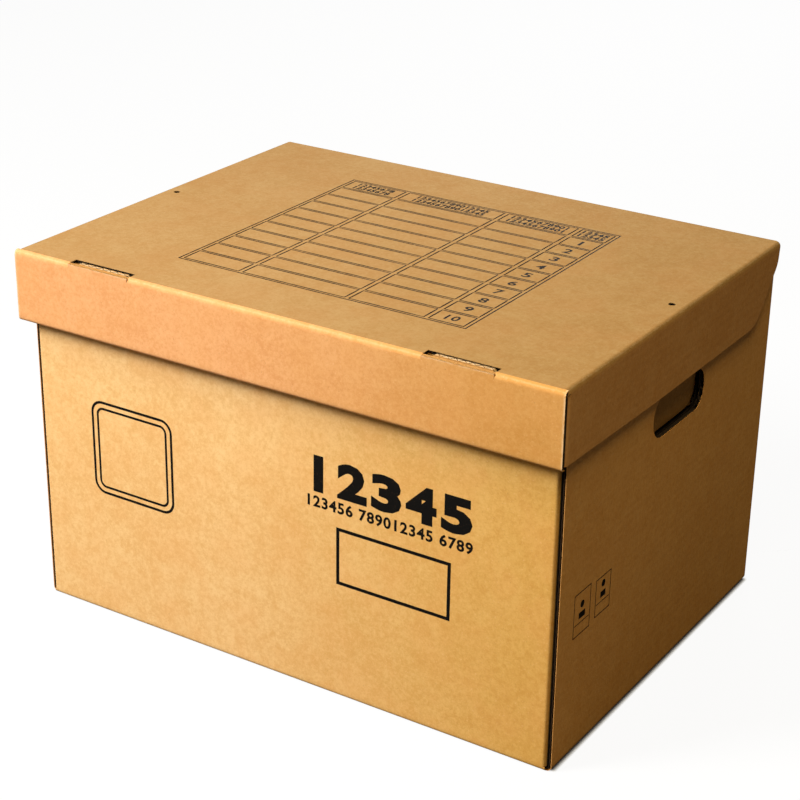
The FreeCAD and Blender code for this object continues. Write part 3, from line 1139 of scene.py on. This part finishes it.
def wall_outline(top):
    step, high = ARC + RELIEF_STEP, top - FOLD + ARC
    right = [(TAB_X, 0), (TAB_X, ARC), (CORNER_START, ARC), (CORNER_START, step),
             (CORNER.length, step), (CORNER.length, high)]
    return right + [(-w, s) for w, s in reversed(right)]


front_lay = upright_wall(False)
board("front_wall", "box", front_lay, [wall_outline(WALL_TOP)], "w", FRONT_KRAFT_PAINTED_LIGHT,
      UPRIGHT_CREASES, FOOT_CREASE)
board("rear_wall", "box", upright_wall(True), [wall_outline(WALL_TOP - AIR)], "w",
      FRONT_KRAFT_PAINTED_LIGHT, UPRIGHT_CREASES, FOOT_CREASE)

# %% [markdown]
# Four corner tabs stand inside the double side walls. They stop short of the hand holes.

# %% Corner tabs
HOLE = (-29.0, 50.0, 189.5, 220.5)
HOLE_RADIUS = 14.5
TAB_GAPS = (8.5, 6.5)


def corner_tabs(side, word):
    lay = level(1, 2, (TAB_X, 0, 0), (-1, 0, 0), side)
    low, high = FOLD + RELIEF, WALL_TOP - FOLD
    for end, y0, y1 in (("front", FRONT + FOLD, HOLE[0] - TAB_GAPS[0]),
                        ("rear", HOLE[1] + TAB_GAPS[1], REAR - FOLD)):
        board("%s_corner_tab_%s" % (end, word), "box", lay, [rectangle(y0, y1, low, high)],
              "w", SIDE_KRAFT_PAINTED_SHADE)


both_sides(corner_tabs)

# %% [markdown]
# Each side wall goes up from the bottom, rolls over at the rim and comes down again inside.
# Its flutes run level, so the hand hole's ends show them as waves and its long edges as
# open channels. The upright cut edges stand back a little behind the corner creases and are
# pressed flat, as a die leaves them. The inner wall has two locks at its foot and the
# opening for the flap, a little wider than the hand hole. The hidden faces between the two
# walls get the dark medium paper, because no light reaches them.

# %% Side walls and rims
RECESS = 2.6
SIDE_HALF = 155
OPENING_MARGIN = 3.4
CUT_GAP = 0.4


def side_walls(side, word):
    outer = swept(Fold((TAB_X, 0), (SIDE, 0), (SIDE, WALL_TOP - FOLD)), 1, side)

    def bowed(w, s):
        place, inward = outer(w, s)
        out = bow(w - MIDDLE_Y, s - ARC + FOLD, SIDE_HALF)
        return place - inward * out[:, None], inward

    up = ARC - FOLD
    y0, y1, z0, z1 = HOLE
    hole = rounded(*[(w, s + up, HOLE_RADIUS) for w, s in rectangle(*HOLE)])
    board("side_outer_wall_" + word, "box", bowed,
          [rectangle(FRONT + RECESS, REAR - RECESS, 0, WALL_TOP - FOLD + up), hole], "s",
          SIDE_KRAFT_PAINTED_SHADE, creases_s=FOOT_CREASE, crest=z0 + up, inner_paper=MEDIUM,
          flat_ends=(FRONT + RECESS, REAR - RECESS))
    rim = Fold((SIDE, WALL_TOP - FOLD), (SIDE, WALL_TOP), (INNER_X - BOARD, WALL_TOP),
               (INNER_X - BOARD, WALL_TOP - FOLD))
    board("side_rim_strip_" + word, "box", swept(rim, 1, side),
          [rectangle(FRONT + FOLD, REAR - FOLD, 0, rim.length)], "s", SIDE_KRAFT_PAINTED_SHADE,
          creases_s=rim.creases)
    foot = []
    for middle in LOCKS:
        y_in, y_out = middle - LOCK_HALF, middle + LOCK_HALF
        foot += [(y_in, FOLD), (y_in, AIR), (y_out, AIR), (y_out, FOLD)]
    outline = ([(FRONT + FOLD, FOLD)] + foot + [(REAR - FOLD, FOLD),
               (REAR - FOLD, WALL_TOP - FOLD), (FRONT + FOLD, WALL_TOP - FOLD)])
    wide = OPENING_MARGIN
    opening = rounded((y0 - wide, z0 - wide, HOLE_RADIUS), (y1 + wide, z0 - wide, HOLE_RADIUS),
                      (y1 + wide, z1, 0), (y0 - wide, z1, 0))
    inner = level(1, 2, (INNER_X - BOARD, 0, 0), (1, 0, 0), side)
    board("side_inner_wall_" + word, "box", inner, [outline, opening], "s", SIDE_KRAFT_PAINTED_SHADE,
          crest=z0 - wide + FLUTE_PITCH / 2, inner_paper=MEDIUM)
    cut = CUT_GAP
    flap = rounded((y0 + cut, z0 + cut, HOLE_RADIUS - cut),
                   (y1 - cut, z0 + cut, HOLE_RADIUS - cut), (y1 - cut, z1 - cut / 2, 0),
                   (y0 + cut, z1 - cut / 2, 0))
    board("hand_hole_flap_" + word, "hand_hole_flap_" + word, inner, [flap], "s", SIDE_KRAFT_PAINTED_SHADE)


both_sides(side_walls)

# %% [markdown]
# The lid's top panel has two slots open to its front crease and a pinhole by each side
# crease. At the rear it stops where the hinge crease begins, except for a short ear at each
# end. It hangs a very little in its middle, as a wide board does.

# %% Lid top
SLOTS = [(-169.5, -117.0), (117.0, 169.5)]
SLOT_REAR = LID_FRONT + 9.6
CREASE_HALF = TAB_X - 0.2
CREASE_START = 3.8
EAR_END = 2.8
PINHOLE = (LID_SIDE - 11, LID_FRONT + 167)
PINHOLE_RADIUS = 2.5
LID_SAG = 0.6

notch = LID_FRONT + FOLD
front_edge = [(-LID_X, notch)]
for x0, x1 in SLOTS:
    front_edge += [(x0, notch), (x0, SLOT_REAR), (x1, SLOT_REAR), (x1, notch)]
rear_edge = [(LID_X, notch), (LID_X, REAR - EAR_END), (CREASE_HALF + AIR, REAR - EAR_END),
             (CREASE_HALF + AIR, REAR - CREASE_START)]
rear_edge += [(-x, y) for x, y in reversed(rear_edge[1:])]
pinholes = [circle(side * PINHOLE[0], PINHOLE[1], PINHOLE_RADIUS) for side in (-1, 1)]


def lid_sag(x, y):
    """How far the lid's top hangs, in mm, below its creases."""
    u, v = np.clip(x / LID_X, -1, 1), np.clip(y / (REAR - FOLD), -1, 1)
    return LID_SAG * (1 - u ** 2) ** 2 * (1 - v ** 2) ** 2


def lid_lay(w, s):
    place, inward = level(0, 1, (0, 0, LID_TOP), (0, 0, -1))(w, s)
    place[:, 2] -= lid_sag(w, s)
    return place, inward


board("lid_top_panel", "lid", lid_lay, [front_edge + rear_edge] + pinholes, "w", LID_KRAFT_PAINTED_SHADE)

# %% [markdown]
# The lid's front is a double wall: down, under and up again inside. At the two slots the top
# crease is cut away and a straight lip stands there. The inner wall's tabs stand up through
# the slots, which locks the fold.

# %% Outer wall of the lid's front
LID_FOOT = 224.0
LID_INSIDE = LID_FRONT + 2 * FOLD + BOARD
FOOT_RADIUS = 2.8
LIP_DROP = 0.4
LIP_GAP = 0.06


def front_outer():
    fold = Fold((notch, LID_TOP), (LID_FRONT, LID_TOP), (LID_FRONT, LID_FOOT),
                (notch, LID_FOOT), radii=(FOLD, FOOT_RADIUS))
    base = swept(fold, 0)
    gap = LIP_GAP

    def lay(w, s):
        place, inward = base(w, s)
        for x0, x1 in SLOTS:
            lip = (w > x0 + gap / 2) & (w < x1 - gap / 2) & (s < ARC)
            place[lip, 1] = LID_FRONT
            place[lip, 2] = LID_TOP - FOLD + ARC - s[lip]
            inward[lip] = (0, 1, 0)
        return place, inward

    lip_s = ARC - FOLD + LIP_DROP
    outline = [(-LID_SIDE, 0)]
    for x0, x1 in SLOTS:
        outline += [(x0, 0), (x0, ARC), (x0 + gap, ARC), (x0 + gap, lip_s), (x1 - gap, lip_s),
                    (x1 - gap, ARC), (x1, ARC), (x1, 0)]
    outline += [(LID_SIDE, 0), (LID_SIDE, fold.length), (-LID_SIDE, fold.length)]
    lips = [rectangle(x0 + gap, x1 - gap, lip_s, ARC + 3) for x0, x1 in SLOTS]
    board("lid_front_outer", "lid", lay, [outline], "w", LID_FRONT_KRAFT_PAINTED_LIGHT,
          creases_s=fold.creases, core=lips, crest=LID_SIDE, core_paper=LID_FRONT_KRAFT_PAINTED_LIGHT)


front_outer()

# %% [markdown]
# Under the double wall runs a narrow strip between two creases, which sets the two walls
# apart.

# %% Strip under the lid's front
def front_edge_strip():
    fold = Fold((notch, LID_FOOT), (LID_INSIDE, LID_FOOT), (LID_INSIDE, LID_FOOT + FOLD))
    half = LID_X - AIR
    board("lid_front_edge_strip", "lid", swept(fold, 0), [rectangle(-half, half, 0, fold.length)],
          "w", LID_KRAFT_PAINTED_SHADE, creases_s=fold.creases)


front_edge_strip()

# %% [markdown]
# The inner wall of the lid's front has two tabs at its top. Each is cut free at its sides
# down to its root, so that it can lean forward into its slot, and its tip is crushed shut.

# %% Inner wall of the lid's front
TAB_ENDS = (4.25, 1.25)
TAB_ROOT = 15.0
TAB_DROP = 0.3
TAB_CHAMFER = 2.6
LEANS = (3.0, 1.8)


def front_inner():
    base = level(0, 2, (0, LID_INSIDE, 0), (0, -1, 0))
    top = LID_TOP - FOLD
    root = LID_TOP - TAB_ROOT
    tip = LID_TOP - TAB_DROP
    half = LID_X - AIR
    tabs = [(x0 + TAB_ENDS[0], x1 - TAB_ENDS[1], lean)
            for (x0, x1), lean in zip(SLOTS, LEANS)]

    def lay(w, s):
        place, inward = base(w, s)
        for x0, x1, lean in tabs:
            tab = (w > x0 - AIR / 2) & (w < x1 + AIR / 2)
            place[tab, 1] -= lean * np.clip((s[tab] - root) / (top - root), 0, 1)
        return place, inward

    outline = [(-half, LID_FOOT + FOLD), (half, LID_FOOT + FOLD), (half, top)]
    for x0, x1, lean in reversed(tabs):
        outline += [(x1 + AIR, top), (x1 + AIR, root), (x1, root), (x1, top),
                    (x1 - TAB_CHAMFER, tip), (x0 + TAB_CHAMFER, tip), (x0, top), (x0, root),
                    (x0 - AIR, root), (x0 - AIR, top)]
    outline.append((-half, top))
    tips = [[(x0 + 0.1, top), (x0 + 0.1, top + 0.1), (x0 + TAB_CHAMFER, tip - 0.25),
             (x1 - TAB_CHAMFER, tip - 0.25), (x1 - 0.1, top + 0.1), (x1 - 0.1, top),
             (x1 - 0.1, top - 5), (x0 + 0.1, top - 5)] for x0, x1, lean in tabs]
    board("lid_front_inner", "lid", lay, [outline], "w", LID_KRAFT_PAINTED_SHADE, rulings_s=[root, top],
          core=tips)


front_inner()

# %% [markdown]
# A flap hangs from each side crease of the lid. Its rear end is cut in a slant with a round
# foot, its foot rises a little towards the front, and its front end turns in behind the
# lid's front as a corner tab.

# %% Lid side flaps
FLAP_FOOT = 223.0
FLAP_RISE = 2.6
SLANT_TOP, SLANT_FOOT = REAR - 5.5, REAR - 37.2
TAB_Y = LID_FRONT + FOLD
FLAP_RELIEF = 0.6


def lid_flaps(side, word):
    fold = Fold((LID_X, LID_TOP), (LID_SIDE, LID_TOP), (LID_SIDE, FLAP_FOOT))
    base = swept(fold, 1, side)
    corner_y = TAB_Y + FOLD
    relief = FLAP_RELIEF

    def lay(w, s):
        place, inward = base(w, s)
        turned = (w < corner_y - 1e-4) & (s > ARC + relief / 2)
        angle = (corner_y - w[turned]) / FOLD
        outward = np.stack([side * np.cos(angle), -np.sin(angle), 0 * angle], axis=1)
        height = LID_TOP - FOLD - (s[turned] - ARC)
        centre = np.stack([0 * angle + side * LID_X, 0 * angle + corner_y, height], axis=1)
        place[turned] = centre + outward * FOLD
        inward[turned] = -outward
        return place, inward

    bend = ARC + 12.5
    foot = fold.length
    outline = rounded((TAB_Y, 0, 0), (REAR - 3.2, 0, 0), (SLANT_TOP, bend, 14),
                      (SLANT_FOOT, foot, 24), (-35, foot, 200),
                      (corner_y, foot - FLAP_RISE, 0), (corner_y - ARC, foot - FLAP_RISE - 0.2, 0),
                      (corner_y - ARC, ARC + relief, 0), (corner_y, ARC + relief, 0),
                      (corner_y, ARC, 0), (TAB_Y, ARC, 0))
    board("lid_side_flap_" + word, "lid", lay, [outline], "s", FLAP_KRAFT_PAINTED_SHADE,
          [(corner_y - ARC, ARC)], fold.creases)
    tab = level(0, 2, (0, TAB_Y, 0), (0, 1, 0), side)
    board("lid_corner_tab_" + word, "lid", tab,
          [rectangle(SLOTS[1][1] + 1.5, LID_X, LID_FOOT + FOLD, LID_TOP - FOLD)], "s",
          FLAP_KRAFT_PAINTED_SHADE)


both_sides(lid_flaps)

# %% [markdown]
# The lid turns on the crease between the rear wall and the lid's top. The crushed board
# there is a piece of its own, a loft of one cross-section along X, thin at its middle as a
# scored crease is.

# %% Hinge crease
CREASE_SLICES = 12
CREASE_SMOOTH = 60


def turned_outward(piece):
    work = bmesh.new()
    work.from_mesh(piece.data)
    bmesh.ops.recalc_face_normals(work, faces=work.faces)
    work.to_mesh(piece.data)
    work.free()


def prism(name, section, axis, ends, paper, degrees):
    """A closed piece with one cross-section, given without the axis that it runs along."""
    count = len(section)
    points = [tuple(np.insert(corner, axis, end) * MM) for end in ends for corner in section]
    faces = []
    for first in range(0, (len(ends) - 1) * count, count):
        for k in range(count):
            a, b = first + k, first + (k + 1) % count
            faces.append((a, b, b + count, a + count))
    faces += [tuple(range(count)), tuple(range(len(points) - count, len(points)))]
    mesh = bpy.data.meshes.new(name)
    mesh.from_pydata(points, [], faces)
    piece = bpy.data.objects.new(name, mesh)
    bpy.context.scene.collection.objects.link(piece)
    turned_outward(piece)
    smooth(piece, degrees)
    mesh.materials.append(paper)
    return piece


def hinge_crease():
    centre = np.array((REAR, LID_TOP)) - FOLD
    section = [(REAR, WALL_TOP - AIR)]
    section += [tuple(centre + FOLD * np.array((math.cos(angle), math.sin(angle))))
                for angle in np.linspace(0, math.pi / 2, 29)]
    section += [(REAR - CREASE_START, LID_TOP),
                (REAR - CREASE_START, LID_TOP - BOARD), (REAR - 2.9, LID_TOP - 2.55),
                (REAR - 1.72, LID_TOP - 1.52), (REAR - 1.52, LID_TOP - 1.72),
                (REAR - 2.45, LID_TOP - 2.85), (REAR - BOARD, WALL_TOP - AIR)]
    piece = prism("rear_crease", section, 0,
                  np.linspace(-CREASE_HALF, CREASE_HALF, CREASE_SLICES), LID_KRAFT_PAINTED_SHADE,
                  CREASE_SMOOTH)
    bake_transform(piece)


hinge_crease()
print("hinge crease: %.0f mm long" % (2 * CREASE_HALF))

# %% [markdown]
# Each hand hole's flap is pushed in and turns on a short crease along its top. Only a skin
# of crushed paper joins it to the inner wall there, which is made as a small strip.

# %% Hand-hole creases
SKIN_PROUD = 0.03
STRIP_ROWS = 9
STRIP_TOP, STRIP_FOOT = HOLE[3] + 1.1, HOLE[3] - 1.3
STRIP_INSET = 1.5
STRIP_SMOOTH = 50


def flap_crease(side, word):
    x0, x1 = INNER_X - BOARD - SKIN_PROUD, INNER_X - BOARD + LINER
    levels = np.linspace(STRIP_TOP, STRIP_FOOT, STRIP_ROWS)
    section = [(side * x1, z) for z in levels] + [(side * x0, z) for z in levels[::-1]]
    piece = prism("flap_crease_" + word, section, 1,
                  (HOLE[0] + STRIP_INSET, HOLE[1] - STRIP_INSET), SIDE_KRAFT_PAINTED_SHADE, STRIP_SMOOTH)
    hinge = Vector((side * (INNER_X - BOARD), (HOLE[0] + HOLE[1]) / 2, HOLE[3])) * MM
    "hand_hole_flap_" + word
    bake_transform(piece)


both_sides(flap_crease)
print("hand-hole creases ready")

# %% [markdown]
# The print is ink, a film that is far thinner than the paper. Here the film is 0.08 mm, and
# a good part of it is sunk in the liner, so that the light treats it as part of the face. A
# shape is cut as a flat sheet, laid on the face as a board's outer liner is, and given its
# thickness by the same corrugating tree, with only layer 0.

# %% Printing on a face
FILM = 0.08
FILM_RISE = 0.6
PRINT_GRID = 12.0


def inked(name, body, lay, sheets):
    """One piece of ink on a face, from flat sheets of points and triangles."""
    def film(w, s):
        place, inward = lay(w, s)
        return place - inward * FILM * FILM_RISE, inward

    pattern = Pattern()
    for flat, triangles in sheets:
        pattern.add(film, flat, triangles)
    piece = plain_mesh(name, pattern.mesh(name),
                       [(corrugate, {"Liner": FILM * MM, **{paper: INK for paper in PAPERS}})])
    forget(piece, [attribute for attribute, kind, field in ATTRIBUTES])
    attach(piece, body)
    print("%-24s %6d faces" % (name, len(piece.data.polygons)))


def printed(name, body, lay, loops):
    """Prints an outline with its holes, with rulings so that it bends with the face."""
    low, high = span(loops)
    rulings = [list(np.arange(low[k] + PRINT_GRID / 2, high[k], PRINT_GRID)) for k in (0, 1)]
    inked(name, body, lay, [cut_sheet(loops, *rulings)])


def frame_loops(w0, w1, s0, s1, line, radius=0):
    """The two loops of a rectangular line of ink, given by its outer edge."""
    loops = []
    for inset in (0, line):
        corner = max(radius - inset, 0)
        loops.append(rounded(*[(w, s, corner) for w, s in rectangle(
            w0 + inset, w1 - inset, s0 + inset, s1 - inset)]))
    return loops


def front_face(w, z):
    return front_lay(w, z + ARC - FOLD)


printed("print_label_frame", "box", front_face,
        frame_loops(47.2, 136.6, 89.2, 132.3, 2.5))
printed("print_double_square", "box", front_face,
        frame_loops(-164.9, -91.5, 99.5, 172.9, 2.0, 10)
        + frame_loops(-160.0, -96.4, 104.4, 168.0, 1.8, 6))

# %% [markdown]
# The large figures and the small line are plain digits. A text curve is made a mesh before
# it is placed. Its outlines then bend with the face, as the frames do, because every point
# is laid on the face on its own.

# %% Digits
DIGIT_SPACING = 1.12


def digit_sheet(text, w0, w1, s0, s1, weight):
    """Flat points and triangles of some digits, from a text curve, that fill a rectangle."""
    curve = bpy.data.curves.new("digits", "FONT")
    curve.body = text
    curve.offset = weight
    curve.resolution_u = 3
    curve.space_character = DIGIT_SPACING
    words = bpy.data.objects.new("digits", curve)
    bpy.context.scene.collection.objects.link(words)
    bpy.context.view_layer.update()
    ready = words.evaluated_get(bpy.context.evaluated_depsgraph_get())
    mesh = bpy.data.meshes.new_from_object(ready)
    bpy.data.objects.remove(words)
    mesh.calc_loop_triangles()
    flat = np.array([v.co[:2] for v in mesh.vertices])
    triangles = np.array([tri.vertices[:] for tri in mesh.loop_triangles])
    low, size = flat.min(axis=0), flat.max(axis=0) - flat.min(axis=0)
    if text == "1":
        low[0] -= size[0]
        size[0] *= 3
    return np.array((w0, s0)) + (flat - low) / size * (w1 - w0, s1 - s0), triangles


def digits(name, body, lay, lines):
    """Prints lines of (text, w0, w1, s0, s1, weight) on a face, as one piece."""
    inked(name, body, lay, [digit_sheet(*line) for line in lines])


FIGURES = 5
FIGURE_PITCH = 26.8
title = [(str(k + 1), 21.0 + FIGURE_PITCH * k, 44.5 + FIGURE_PITCH * k, 154.2, 181.0, 0.05)
         for k in range(FIGURES)]
title.append(("123456 789012345 6789", 24, 152.5, 142.6, 151.4, 0.03))
digits("print_front_digits", "box", front_face, title)

# %% [markdown]
# The lid carries a ruled table for what is in the box: four columns of eleven rows, and
# every cell is an outline of its own inside one frame. Cells repeat, so a Geometry Nodes
# tree makes a column: one rectangle swept with the line's section, put on a line of points.
# Four modifiers with different sizes build the table on one mesh.

# %% A column of cells
def column_tree():
    tree = Tree("ruled_column")
    for name in ("Left", "Width", "Rear", "Pitch", "Gap", "Line", "Film", "Level"):
        tree.size(name, 0.01)
    tree.size("Rows", 11, "NodeSocketInt")
    tree.size("Ink", kind="NodeSocketMaterial")
    tree.ready()
    maths, given = tree.maths, tree.given
    width = maths("SUBTRACT", given("Width"), given("Line"))
    height = maths("SUBTRACT", maths("SUBTRACT", given("Pitch"), given("Gap")), given("Line"))
    outline = tree.node("GeometryNodeCurvePrimitiveQuadrilateral", {}, width, height)
    outline = tree.node("GeometryNodeSubdivideCurve", {}, Curve=outline, Cuts=3)
    diagonal = maths("MULTIPLY", given("Line"), math.sqrt(2))
    section = tree.node("GeometryNodeCurvePrimitiveQuadrilateral", {}, diagonal, given("Film"))
    cell = tree.node("GeometryNodeCurveToMesh", {}, outline, section)
    across = maths("ADD", given("Left"), maths("MULTIPLY", given("Width"), 0.5))
    first = maths("SUBTRACT", given("Rear"), maths("MULTIPLY", given("Pitch"), 0.5))
    start = tree.node("ShaderNodeCombineXYZ", {}, X=across, Y=first, Z=given("Level"))
    step = tree.node("ShaderNodeCombineXYZ", {}, Y=maths("MULTIPLY", given("Pitch"), -1.0))
    points = tree.node("GeometryNodeMeshLine", {"mode": "OFFSET"}, Count=given("Rows"),
                       Start_Location=start, Offset=step)
    cells = tree.node("GeometryNodeInstanceOnPoints", {}, Points=points, Instance=cell)
    cells = tree.node("GeometryNodeRealizeInstances", {}, cells)
    cells = tree.node("GeometryNodeSetMaterial", {}, Geometry=cells, Material=given("Ink"))
    tree.deliver(tree.joined(cells, given("Geometry")))
    return tree


ruled = column_tree()
print("column inputs:", list(ruled.ids))

# %% [markdown]
# The table's lines were measured in the photograph, on the plane of the lid's top. Each
# column is one modifier, and its points are lowered by as much as the lid hangs there.

# %% The table on the lid
TABLE = (-114.6, 118.2, -111.8, 106.4)
COLUMNS = ((-111.6, -64.0), (-61.2, 23.4), (26.2, 85.2), (88.0, 115.2))
ROWS = 11
TABLE_MARGIN = 1.8
TABLE_LINE = 0.8
CELL_GAP = 1.3
ROW_PITCH = (TABLE[3] - TABLE[2] - 2 * TABLE_MARGIN) / ROWS
ROWS_REAR = TABLE[3] - TABLE_MARGIN

common = {"Rear": ROWS_REAR * MM, "Pitch": ROW_PITCH * MM, "Gap": CELL_GAP * MM,
          "Line": TABLE_LINE * MM, "Film": FILM * MM, "Level": (LID_TOP + FILM * 0.1) * MM,
          "Rows": ROWS, "Ink": INK}
table = plain_mesh("print_table_cells", bpy.data.meshes.new("no_cells"),
                   [(ruled, {**common, "Left": x0 * MM, "Width": (x1 - x0) * MM})
                    for x0, x1 in COLUMNS])
points = np.array([v.co[:] for v in table.data.vertices])
points[:, 2] -= lid_sag(points[:, 0] / MM, points[:, 1] / MM) * MM
table.data.vertices.foreach_set("co", points.ravel())
turned_outward(table)
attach(table, "lid")
printed("print_table_frame", "lid", lid_lay, frame_loops(*TABLE, TABLE_LINE * 1.3))
print("cells:", ROWS * len(COLUMNS), "row pitch: %.1f mm" % ROW_PITCH)

# %% [markdown]
# The table's last column numbers its rows from 1 to 10, and its head cells hold two lines of
# digits each.

# %% Digits of the table
NUMBER_X = 101.6
HEADS = (("12345678", -104, -72), ("123456789012345", -50, 12), ("12345678901", 32, 79),
         ("12345", 91, 112))
HEAD_STEP = 3.7
HEAD_HALF = 3.2
NUMBER_HALF = 3.2
TEN_HALF = 5.0
NUMBER_RISE = 4.2
NUMBER_WEIGHT, HEAD_WEIGHT = 0.02, 0.04

numbers = []
for row in range(1, ROWS):
    y = ROWS_REAR - ROW_PITCH * (row + 0.5)
    half = NUMBER_HALF if row < 10 else TEN_HALF
    numbers.append((str(row), NUMBER_X - half, NUMBER_X + half, y - NUMBER_RISE,
                    y + NUMBER_RISE, NUMBER_WEIGHT))
for text, x0, x1 in HEADS:
    for step in (-HEAD_STEP, HEAD_STEP):
        y = ROWS_REAR - ROW_PITCH * 0.5 + step
        numbers.append((text, x0, x1, y - HEAD_HALF, y + HEAD_HALF, HEAD_WEIGHT))
digits("print_table_digits", "lid", lid_lay, numbers)

# %% [markdown]
# Two small framed marks stand low on the right side, with a bar, a block and a dot in each.

# %% Marks on the right side
def right_face(w, z):
    place, inward = swept(Fold((TAB_X, 0), (SIDE, 0), (SIDE, WALL_TOP - FOLD)), 1)(
        w, z + ARC - FOLD)
    return place - inward * bow(w - MIDDLE_Y, z, SIDE_HALF)[:, None], inward


MARKS = ((-130.0, -107.5, 89.5, 121.5), (-100.5, -79.5, 91.5, 119.5))
for count, (y0, y1, z0, z1) in enumerate(MARKS, 1):
    loops = frame_loops(y0, y1, z0, z1, 0.7)
    loops.append(rectangle(y0 + 1.5, y1 - 1.5, z0 + 8.6, z0 + 9.2))
    loops.append(rectangle(y0 + 7, y1 - 7, z0 + 12, z0 + 16.5))
    loops.append(circle((y0 + y1) / 2, z0 + 22, 2.6, 16))
    printed("print_side_mark_%d" % count, "box", right_face, loops)

# %% [markdown]
# The CAD model's box and this one's should be the same, or the part would not fit where the
# CAD model says it does. Here only the CAD model's box is printed.

# %% Print the CAD model's box, and finish
print("CAD box   ", [round(v, 4) for v in (*cad_low, *cad_high)])
